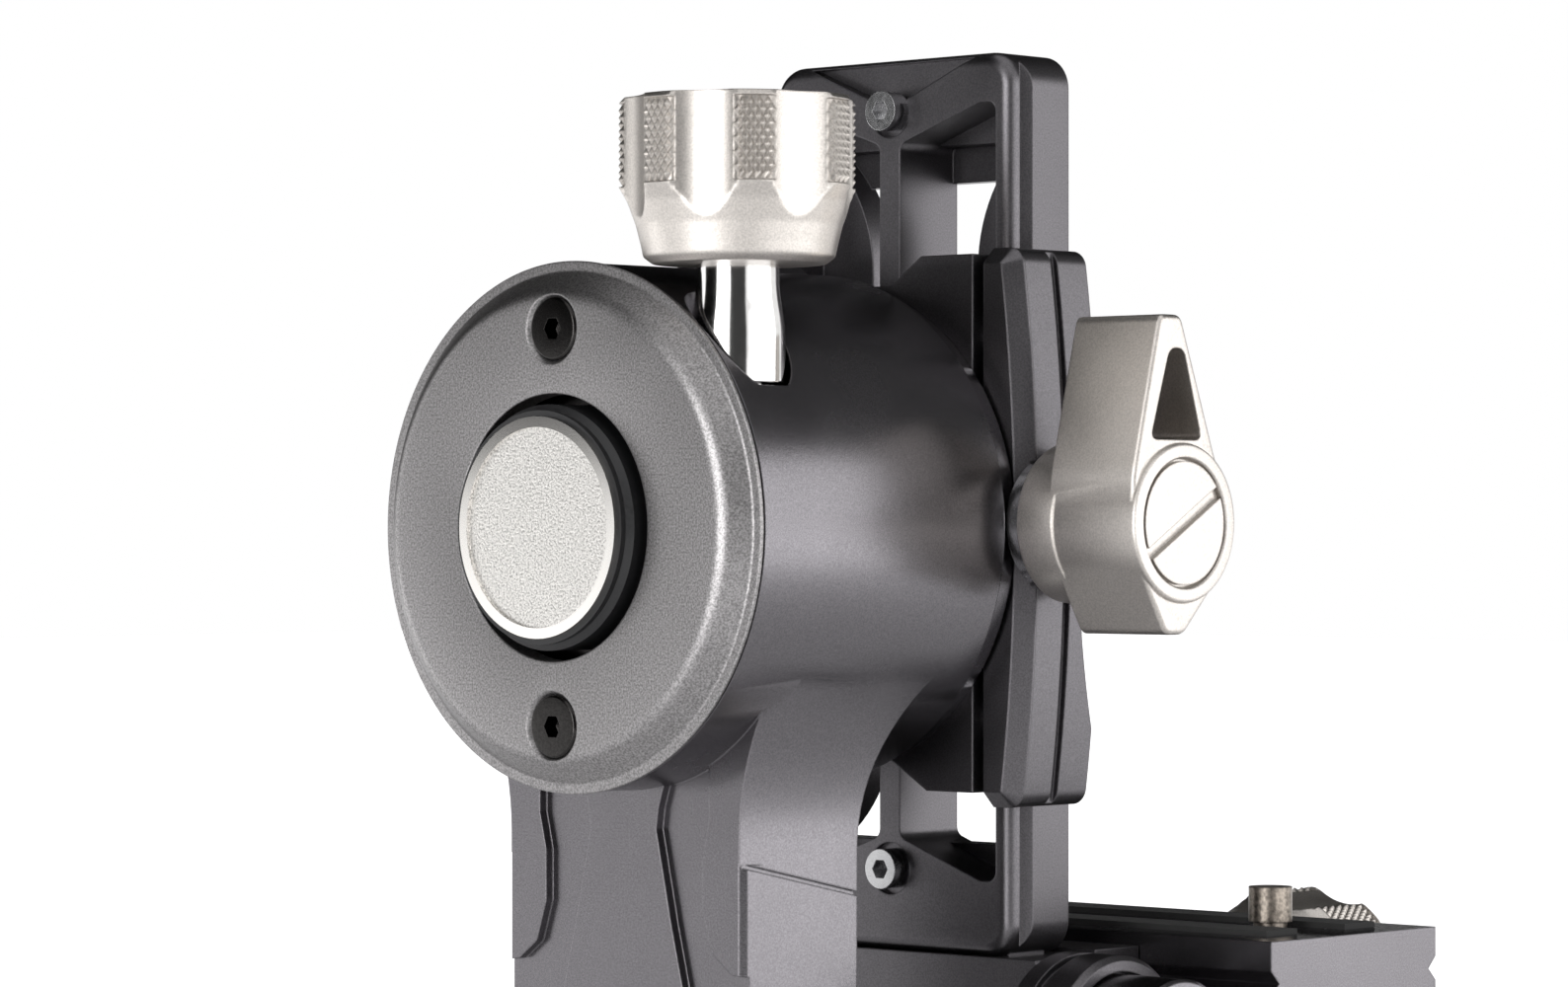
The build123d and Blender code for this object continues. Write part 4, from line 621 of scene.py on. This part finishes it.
def knob_profile(knurl_rows):
    """Radius and height up the unfluted knob, and the number of its first knurled row."""
    foot = rounded(KNOB_FOOT, 0.3, 3)
    rise = np.linspace(*TAPER_SPAN, TAPER_ROWS)
    taper = np.stack([np.interp(rise, TAPER_HEIGHTS, TAPER_RADII), rise], axis=-1)
    wall = np.linspace(*LAND_SPAN, knurl_rows + 1)
    land = np.stack([np.full_like(wall, KNOB_RADIUS), wall], axis=-1)
    crown = rounded(KNOB_CROWN, 0.15, 3)[1:]
    return np.vstack([foot, taper, land, crown]), len(foot) + len(taper)


def knob_points(sizes):
    """Fluted, knurled knob about +Z from its foot, in millimetres.

    The radius is the smaller of the turned profile and of the flutes' cylinders,
    which stand round the axis: centre * cos a - sqrt(radius^2 - (centre * sin a)^2),
    with a measured from the flute's middle. On the lands the points are spaced half
    a diamond apart both ways and every other one is raised, so that quads cut
    between their low corners are pyramids. Returns radius, height, angle, where the
    points are knurled and where they are raised.
    """
    pitch, rows = tau / sizes.flutes, sizes.knurl_rows
    on_land = np.linspace(-LAND_ANGLE / 2, LAND_ANGLE / 2, LAND_STEPS + 1)
    in_flute = np.linspace(LAND_ANGLE / 2, pitch - LAND_ANGLE / 2, FLUTE_STEPS + 1)[1:-1]
    sector = np.concatenate([on_land, in_flute])
    angle = (np.arange(sizes.flutes)[:, None] * pitch + sector[None]).reshape(-1) + pitch / 2
    no_knurl = np.full(len(in_flute), -1)
    column = np.tile(np.concatenate([np.arange(LAND_STEPS + 1), no_knurl]), sizes.flutes)

    profile, first = knob_profile(rows)
    radius = np.repeat(profile[:, :1], len(angle), axis=1)
    height = np.repeat(profile[:, 1:], len(angle), axis=1)
    row = np.full(len(profile), -1)
    row[first:first + rows + 1] = np.arange(rows + 1)
    row = row[:, None]

    from_flute = (angle + pitch / 2) % pitch - pitch / 2
    reach = (sizes.flute_radius / MM) ** 2 - (FLUTE_CENTRE * np.sin(from_flute)) ** 2
    near_side = FLUTE_CENTRE * np.cos(from_flute) - np.sqrt(np.maximum(reach, 0))
    radius = np.minimum(radius, np.where(reach > 0, near_side, np.inf))

    knurled = (row >= 0) & (column >= 0)
    raised = knurled & ((row + column) % 2 == 1) & (row > 0) & (row < rows)
    border = (column == 0) | (column == LAND_STEPS)
    lowered = knurled & ~raised & ~border
    radius = radius - sizes.knurl_depth / MM * lowered + KNURL_CREST * raised
    return radius, height, angle, knurled, raised


def knurl_faces(knurled, raised):
    """Quads of the knob, with those on the lands cut into triangles between low corners.

    No land touches its neighbour across the seam, so a quad that wraps from land
    to flute stays whole.
    """
    quads = grid_faces(*knurled.shape)
    on_land = knurled.reshape(-1)[quads].all(axis=1)
    lands = quads[on_land]
    first_raised = raised.reshape(-1)[lands[:, :1]]
    lands = np.where(first_raised, np.roll(lands, -1, axis=1), lands)
    triangles = np.concatenate([lands[:, [0, 1, 2]], lands[:, [0, 2, 3]]])
    return quads[~on_land].tolist() + triangles.tolist()


def make_knob(node, direction, sizes):
    """Knob in a CAD knob's place, standing on its foot."""
    low, high = (np.array(corner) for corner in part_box(node))
    origin = (low + high) / 2
    axis = int(np.argmax(np.abs(direction)))
    origin[axis] = low[axis] if direction[axis] > 0 else high[axis]

    radius, height, angle, knurled, raised = knob_points(sizes)
    x, y, z = axes_of(direction)
    ring = np.cos(angle)[:, None] * x + np.sin(angle)[:, None] * y
    points = (radius[..., None] * ring[None] + height[..., None] * z) * MM + origin
    mesh = bpy.data.meshes.new(node + "_knurled")
    mesh.from_pydata(points.reshape(-1, 3), [], knurl_faces(knurled, raised))
    # painted shade: 1 on the lands' cut-down points, whose colour is then darkened
    painted_valley_shade = mesh.attributes.new("painted_valley_shade", "FLOAT", "POINT")
    painted_valley_shade.data.foreach_set("value", (knurled & ~raised).reshape(-1).astype(np.float32))
    knob = settle(node + "_knurled", mesh, node)
    tidy(knob)
    smooth_by_angle(knob, KNURL_CRISP)


# ------------------------------------------------------- other pieces of the head
# profiles in millimetres: radius, height along the axis, and for lathes the bend's cut
CAP_PROFILE = [
    (17.6, 0, 0.25), (30.8, 0, 1.25), (33.8, 3.0, 0.2), (35.2, 3.0, 0.12), (35.2, 3.5, 0.12),
    (22.5, 3.5, 0.1), (22.5, 5.5, 0.1), (20.1, 5.5, 0.1), (20.1, 3.5, 0.1), (17.6, 3.5, 0.1),
]
COUNTERSINK = [(0, -1), (5.75, -1), (4.75, 0), (2.1, 2.9), (2.1, 6), (0, 6)]
SCREW_HEAD = [(0, 0.12), (3.95, 0.12), (4.3, 0.45), (2.0, 2.75), (2.0, 10.0), (0, 10.0)]
HEX_SOCKET = [(0, -0.2), (1.7, -0.2), (1.5, 0.35), (1.45, 2.2), (0, 2.6)]
SCREW_SEGMENTS = 96
STEM_SEAT, STEM_NECK = 18.7, 34.2  # above the tilt axis: the collar's foot, the drum's top

# the lever seen from its front: along +X and up from the spindle
WING = [
    (-4.3, 27.6), (-9.6, 7.0), (-10.5, 1.0), (-9.3, -5.0), (-3.2, -14.8), (0.6, -14.8),
    (7.0, -8.4), (10.6, 0.0), (8.6, 6.2), (7.2, 9.0), (0.0, 27.6),
]
WINDOW = [(-2.6, 23.2), (-6.6, 11.0), (4.3, 11.0), (0.5, 23.2)]

# radius and distance out along the spindle, which starts in the tilt axis' plane
WING_BACK, WING_FRONT = 43.3, 57.75
WINDOW_BACK, WINDOW_FRONT = 40.0, 60.0
LEVER_DISC = [(0, 44.0), (10.6, 44.0), (10.6, 58.4), (0, 58.4)]
LEVER_BOSS = [(0, 38.0), (10.8, 38.0), (10.8, 44.3), (0, 44.3)]
LEVER_RECESS = [
    (0, 30), (4.0, 30), (4.0, 57.2), (8.6, 57.2), (8.6, 58.15), (8.9, 58.5), (8.9, 60), (0, 60),
]
LEVER_SEGMENTS = 128


def make_cap():
    """End cap: a turned ring with a soft bend into its chamfer and two countersunk holes."""
    cap = lathe("end_cap", CAP_PROFILE, (CAP_X, 0, TILT_Z), (1, 0, 0), closed=True)
    for side in (-1, 1):
        place = (CAP_X, 0, TILT_Z + side * CAP_SCREW_REACH)
        cut(cap, *turned(COUNTERSINK, place, (1, 0, 0), SCREW_SEGMENTS))
    smooth_by_angle(cap, TURNED_CRISP)


def make_cap_screws():
    """Two countersunk hex-socket screws a little below the cap's face."""
    for number, side in enumerate((-1, 1)):
        place = (CAP_X, 0, TILT_Z + side * CAP_SCREW_REACH)
        head = rounded(SCREW_HEAD, 0.12)
        points, faces = turned(head, place, (1, 0, 0), SCREW_SEGMENTS)
        screw = build("cap_screw_%d" % number, points, faces, "end_cap_screws")
        cut(screw, *turned(HEX_SOCKET, place, (1, 0, 0), 6))
        smooth_by_angle(screw, TURNED_CRISP)


def make_stem():
    """Polished stem of the tilt lock: a neck that flares into its collar, over the screw."""
    low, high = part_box("tilt_lock_stem")
    axis = ((low.x + high.x) / 2, (low.y + high.y) / 2, low.z)
    top = (high.z - low.z) / MM
    tilt_axis = (TILT_Z - low.z) / MM
    seat, neck = tilt_axis + STEM_SEAT, tilt_axis + STEM_NECK
    profile = [
        (0, 0, 0), (2.6, 0, 0.3), (2.6, 4.0, 0.2), (4.0, 4.0, 0.3), (4.0, seat, 0.1),
        (6.2, seat, 0.35), (6.2, neck - 7.8, 2.0), (5.4, neck - 3.4, 2.0), (5.4, top, 0.2),
        (0, top, 0),
    ]
    lathe("tilt_lock_stem", profile, axis, (0, 0, 1), closed=False)


def on_lever(points):
    """Points (along X, up, out) about the lever's spindle, in millimetres, as places."""
    across, up, out = (points * MM).T
    return np.stack([LEVER_X + across, -out, LEVER_Z + up], axis=-1)


def make_lever(edge):
    """Wing lever: a rounded wing with a ring round its screw, a boss, a window and a recess."""
    points, faces = prism(bent(WING, 1.1), WING_BACK, WING_FRONT, edge / MM)
    lever = build("clamp_lever_formed", on_lever(points), faces, "clamp_lever")
    spindle = LEVER_X, 0.0, LEVER_Z
    for profile in (rounded(LEVER_DISC, [0, 0.4, 0.5, 0]), rounded(LEVER_BOSS, [0, 0.5, 0.2, 0])):
        cut(lever, *turned(profile, spindle, (0, -1, 0), LEVER_SEGMENTS), "UNION")
    points, faces = prism(bent(WINDOW, 1.5), WINDOW_BACK, WINDOW_FRONT, 0.1)
    cut(lever, on_lever(points), faces)
    cut(lever, *turned(LEVER_RECESS, spindle, (0, -1, 0), LEVER_SEGMENTS))
    smooth_by_angle(lever, LEVER_CRISP)


# ------------------------------------------------------------------- the studio
STAGE_CENTRE = (-0.09, 0.0, 0.17)
FLOOR_HALF = 6.0  # half the floor's side, in metres
FLOOR_Z = -0.0002
FLOOR_COLOUR = (0.82, 0.82, 0.83, 1.0)
CARD_RADIUS = 1.1
CARD_COLUMNS = 25

# dim cards: start and end azimuth, low and high elevation in degrees, strength
CARDS = {
    "card_front": (-155, -115, -8.7, 32, 0.05),
    "card_left": (143, 163, -8.7, 32, 0.05),
    "card_upper_right": (-60, -3, 22, 60, 0.12),
    "card_upper_back": (-3, 165, 1, 66, 0.002),
}

# lamps: place, target, width, height in metres, power in watts
LAMPS = {
    "right_box": ((0.140, -0.685, 0.245), (-0.099, -0.023, 0.245), 1.10, 0.49, 2.35),
    "left_strip": ((-0.90, -0.065, 0.26), (-0.099, -0.023, 0.26), 0.50, 0.50, 3.9),
    "left_panel": ((-0.447, 0.835, 0.25), (-0.11, 0.0, 0.25), 0.36, 0.50, 0.8),
}


def stage_mesh(name, vertices, faces, material):
    """Mesh that belongs to the stage and not to the head."""
    mesh = bpy.data.meshes.new(name)
    mesh.from_pydata(vertices, [], faces)
    mesh.materials.append(material)
    piece = bpy.data.objects.new(name, mesh)
    bpy.context.scene.collection.objects.link(piece)
    return piece


def seen_directly(nodes, links):
    """1 for rays from the camera, from a mirror or through glass, 0 for scattered light."""
    path = nodes.new("ShaderNodeLightPath")
    result = path.outputs["Is Camera Ray"]
    for kind in ("Is Glossy Ray", "Is Transmission Ray"):
        larger = add(nodes, "ShaderNodeMath", operation="MAXIMUM")
        links.new(result, larger.inputs[0])
        links.new(path.outputs[kind], larger.inputs[1])
        result = larger.outputs[0]
    return result


def make_floor(near_glow, far_glow):
    """Pale floor that keeps the head's shadow and reads white further out.

    Its own glow, which only the camera and reflections see, grows in a straight
    line from near_glow at 0.25 m to far_glow at 1 m, and from there to 1 at 3 m.
    """
    material, nodes, links, shader = new_material("studio_floor")
    shader.inputs["Base Color"].default_value = FLOOR_COLOUR
    shader.inputs["Roughness"].default_value = 0.9
    place = nodes.new("ShaderNodeTexCoord")
    reach = add(nodes, "ShaderNodeVectorMath", operation="LENGTH")
    links.new(place.outputs["Object"], reach.inputs[0])
    distance = reach.outputs["Value"]
    level = add(nodes, "ShaderNodeMath", operation="ADD")
    near = spread_over(nodes, links, distance, (0.25, 1.0), (near_glow, far_glow))
    rest = spread_over(nodes, links, distance, (1.0, 3.0), (0.0, 1.0 - far_glow))
    links.new(near, level.inputs[0])
    links.new(rest, level.inputs[1])
    glow = nodes.new("ShaderNodeEmission")
    links.new(level.outputs["Value"], glow.inputs["Strength"])
    both = nodes.new("ShaderNodeAddShader")
    links.new(shader.outputs["BSDF"], both.inputs[0])
    links.new(glow.outputs["Emission"], both.inputs[1])
    mix = nodes.new("ShaderNodeMixShader")
    links.new(seen_directly(nodes, links), mix.inputs["Fac"])
    links.new(shader.outputs["BSDF"], mix.inputs[1])
    links.new(both.outputs["Shader"], mix.inputs[2])
    links.new(mix.outputs["Shader"], nodes["Material Output"].inputs["Surface"])
    turns = ((-1, -1), (1, -1), (1, 1), (-1, 1))
    corners = [(x * FLOOR_HALF, y * FLOOR_HALF, FLOOR_Z) for x, y in turns]
    stage_mesh("studio_floor", corners, [(0, 1, 2, 3)], material)


def make_card(name, start, end, low, high, level):
    """Dim card that only shows in reflections: part of an upright cylinder about the head.

    start and end are azimuths, low and high elevations seen from the tilt axis.
    """
    material, nodes, links, _ = new_material(name)
    glow = add(nodes, "ShaderNodeEmission", Color=(1, 1, 1, 1), Strength=level)
    links.new(glow.outputs["Emission"], nodes["Material Output"].inputs["Surface"])
    turn = np.radians(np.linspace(start, end, CARD_COLUMNS))
    across = STAGE_CENTRE[0] + CARD_RADIUS * np.cos(turn)
    along = STAGE_CENTRE[1] + CARD_RADIUS * np.sin(turn)
    heights = STAGE_CENTRE[2] + CARD_RADIUS * np.tan(np.radians([low, high]))
    rows = [np.stack([across, along, np.full_like(turn, height)], axis=-1) for height in heights]
    faces = grid_faces(2, len(turn), wrap_columns=False).tolist()
    card = stage_mesh(name, np.vstack(rows), faces, material)
    card.visible_camera = False
    card.visible_diffuse = False
    card.visible_transmission = False
    card.visible_shadow = False


def make_world(strength):
    """White background, dimmer as a source of light."""
    world = bpy.data.worlds.new("studio")
    bpy.context.scene.world = world
    world.use_nodes = True
    nodes, links = world.node_tree.nodes, world.node_tree.links
    back = nodes["Background"]
    back.inputs["Color"].default_value = (1, 1, 1, 1)
    level = spread_over(nodes, links, seen_directly(nodes, links), (0.0, 1.0), (strength, 1.0))
    links.new(level, back.inputs["Strength"])


def soft_box(name, place, target, width, height, power):
    """Rectangular lamp at place, turned to target."""
    lamp = bpy.data.lights.new(name, "AREA")
    lamp.shape = "RECTANGLE"
    lamp.size = width
    lamp.size_y = height
    lamp.energy = power
    holder = bpy.data.objects.new(name, lamp)
    bpy.context.scene.collection.objects.link(holder)
    holder.location = place
    towards = Vector(target) - Vector(place)
    holder.rotation_euler = towards.to_track_quat("-Z", "Y").to_euler()
    holder.visible_camera = False


def make_camera(stage):
    """Level camera, turned about the upright, with its picture shifted up."""
    data = bpy.data.cameras.new("camera")
    data.sensor_width = 36.0
    data.lens = stage.lens
    data.shift_y = stage.rise
    data.clip_start = 0.01
    camera = bpy.data.objects.new("camera", data)
    bpy.context.scene.collection.objects.link(camera)
    camera.location = (stage.camera_x, stage.camera_y, stage.camera_height)
    camera.rotation_euler = (pi / 2, 0, stage.turn - pi / 2)
    bpy.context.scene.camera = camera


# -------------------------------------------------------------------- operators
class HEAD_OT_materials(bpy.types.Operator):
    """Make the finishes and give each CAD node the one of its slot"""

    bl_idname = "head.materials"
    bl_label = "Finishes"

    def execute(self, context):
        make_materials(context.scene.head_colours, context.scene.head_sizes)
        for name, node in frame["nodes"].items():
            for holder in node.material_slots:
                holder.material = MATERIALS[SLOTS[name]]
        return {"FINISHED"}


class HEAD_OT_end_cap(bpy.types.Operator):
    """Turn the end cap and its two countersunk screws"""

    bl_idname = "head.end_cap"
    bl_label = "End cap"

    def execute(self, context):
        make_cap()
        make_cap_screws()
        return {"FINISHED"}


class HEAD_OT_tilt_stem(bpy.types.Operator):
    """Turn the polished stem of the tilt lock"""

    bl_idname = "head.tilt_stem"
    bl_label = "Tilt-lock stem"

    def execute(self, context):
        make_stem()
        return {"FINISHED"}


class HEAD_OT_lever(bpy.types.Operator):
    """Form the clamp's wing lever"""

    bl_idname = "head.lever"
    bl_label = "Clamp lever"

    def execute(self, context):
        make_lever(context.scene.head_sizes.lever_edge)
        return {"FINISHED"}


class HEAD_OT_castings(bpy.types.Operator):
    """Finish the upright arm, the lower arm and the base"""

    bl_idname = "head.castings"
    bl_label = "Castings"

    def execute(self, context):
        dress(CASTINGS)
        return {"FINISHED"}


class HEAD_OT_axle(bpy.types.Operator):
    """Finish the tilt shaft with its plug, badge and brake drum"""

    bl_idname = "head.axle"
    bl_label = "Tilt axle"

    def execute(self, context):
        dress(AXLE)
        return {"FINISHED"}


class HEAD_OT_clamp(bpy.types.Operator):
    """Finish the rail clamp, its jaw and its spindle"""

    bl_idname = "head.clamp"
    bl_label = "Rail clamp"

    def execute(self, context):
        dress(CLAMP)
        return {"FINISHED"}


class HEAD_OT_rail(bpy.types.Operator):
    """Finish the windowed rail and the bracket under it"""

    bl_idname = "head.rail"
    bl_label = "Swing rail"

    def execute(self, context):
        dress(RAIL)
        return {"FINISHED"}


class HEAD_OT_platform(bpy.types.Operator):
    """Finish the quick-release clamp and the lens plate"""

    bl_idname = "head.platform"
    bl_label = "Platform"

    def execute(self, context):
        dress(PLATFORM)
        return {"FINISHED"}


class HEAD_OT_locks(bpy.types.Operator):
    """Finish the plain lock knob and the stems of the locks"""

    bl_idname = "head.locks"
    bl_label = "Lock stems"

    def execute(self, context):
        dress(LOCKS)
        return {"FINISHED"}


class HEAD_OT_screws(bpy.types.Operator):
    """Finish the screws that hold the parts together"""

    bl_idname = "head.screws"
    bl_label = "Screws"

    def execute(self, context):
        dress(SCREWS)
        return {"FINISHED"}


class HEAD_OT_knobs(bpy.types.Operator):
    """Build the three fluted and knurled lock knobs"""

    bl_idname = "head.knobs"
    bl_label = "Lock knobs"

    def execute(self, context):
        for node, direction in KNOBS.items():
            make_knob(node, direction, context.scene.head_sizes)
        return {"FINISHED"}


class HEAD_OT_studio(bpy.types.Operator):
    """Set up floor, world, cards, lamps and camera"""

    bl_idname = "head.studio"
    bl_label = "Studio"

    def execute(self, context):
        stage = context.scene.head_stage
        context.scene.view_settings.view_transform = "Standard"
        make_floor(stage.near_floor, stage.far_floor)
        make_world(stage.world_level)
        for name, values in CARDS.items():
            make_card(name, *values)
        for name, values in LAMPS.items():
            soft_box(name, *values)
        make_camera(stage)
        return {"FINISHED"}


# -------------------------------------------------------------------- the add-on
PIECE_OPERATORS = (
    HEAD_OT_end_cap, HEAD_OT_tilt_stem, HEAD_OT_lever, HEAD_OT_castings, HEAD_OT_axle,
    HEAD_OT_clamp, HEAD_OT_rail, HEAD_OT_platform, HEAD_OT_locks, HEAD_OT_screws, HEAD_OT_knobs,
)


class HEAD_PT_panel(bpy.types.Panel):
    """Sidebar panel of the head's looks"""

    bl_label = "Gimbal Head"
    bl_space_type = "VIEW_3D"
    bl_region_type = "UI"
    bl_category = "Gimbal Head"

    def draw(self, context):
        scene = context.scene
        for title, settings, operators in (
            ("Finishes", scene.head_colours, (HEAD_OT_materials,)),
            ("Pieces", scene.head_sizes, PIECE_OPERATORS),
            ("Studio", scene.head_stage, (HEAD_OT_studio,)),
        ):
            box = self.layout.box()
            box.label(text=title)
            for name in settings.__annotations__:
                box.prop(settings, name)
            for operator in operators:
                box.operator(operator.bl_idname)


SETTINGS = {
    "head_sizes": HeadSizes,
    "head_colours": HeadColours,
    "head_stage": StageSettings,
}
CLASSES = (
    *SETTINGS.values(), HEAD_OT_materials, *PIECE_OPERATORS, HEAD_OT_studio, HEAD_PT_panel,
)


def register():
    """Registers the classes and hangs the settings on the scene."""
    for cls in CLASSES:
        bpy.utils.register_class(cls)
    for name, group in SETTINGS.items():
        setattr(bpy.types.Scene, name, bpy.props.PointerProperty(type=group))


def unregister():
    """Takes the settings and the classes away again."""
    for name in SETTINGS:
        delattr(bpy.types.Scene, name)
    for cls in reversed(CLASSES):
        bpy.utils.unregister_class(cls)


def main():
    """Registers the add-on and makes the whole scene."""
    register()
    bpy.ops.head.materials()
    bpy.ops.head.end_cap()
    bpy.ops.head.tilt_stem()
    bpy.ops.head.lever()
    bpy.ops.head.castings()
    bpy.ops.head.axle()
    bpy.ops.head.clamp()
    bpy.ops.head.rail()
    bpy.ops.head.platform()
    bpy.ops.head.locks()
    bpy.ops.head.screws()
    bpy.ops.head.knobs()
    bpy.ops.head.studio()


if __name__ == "__main__":
    main()
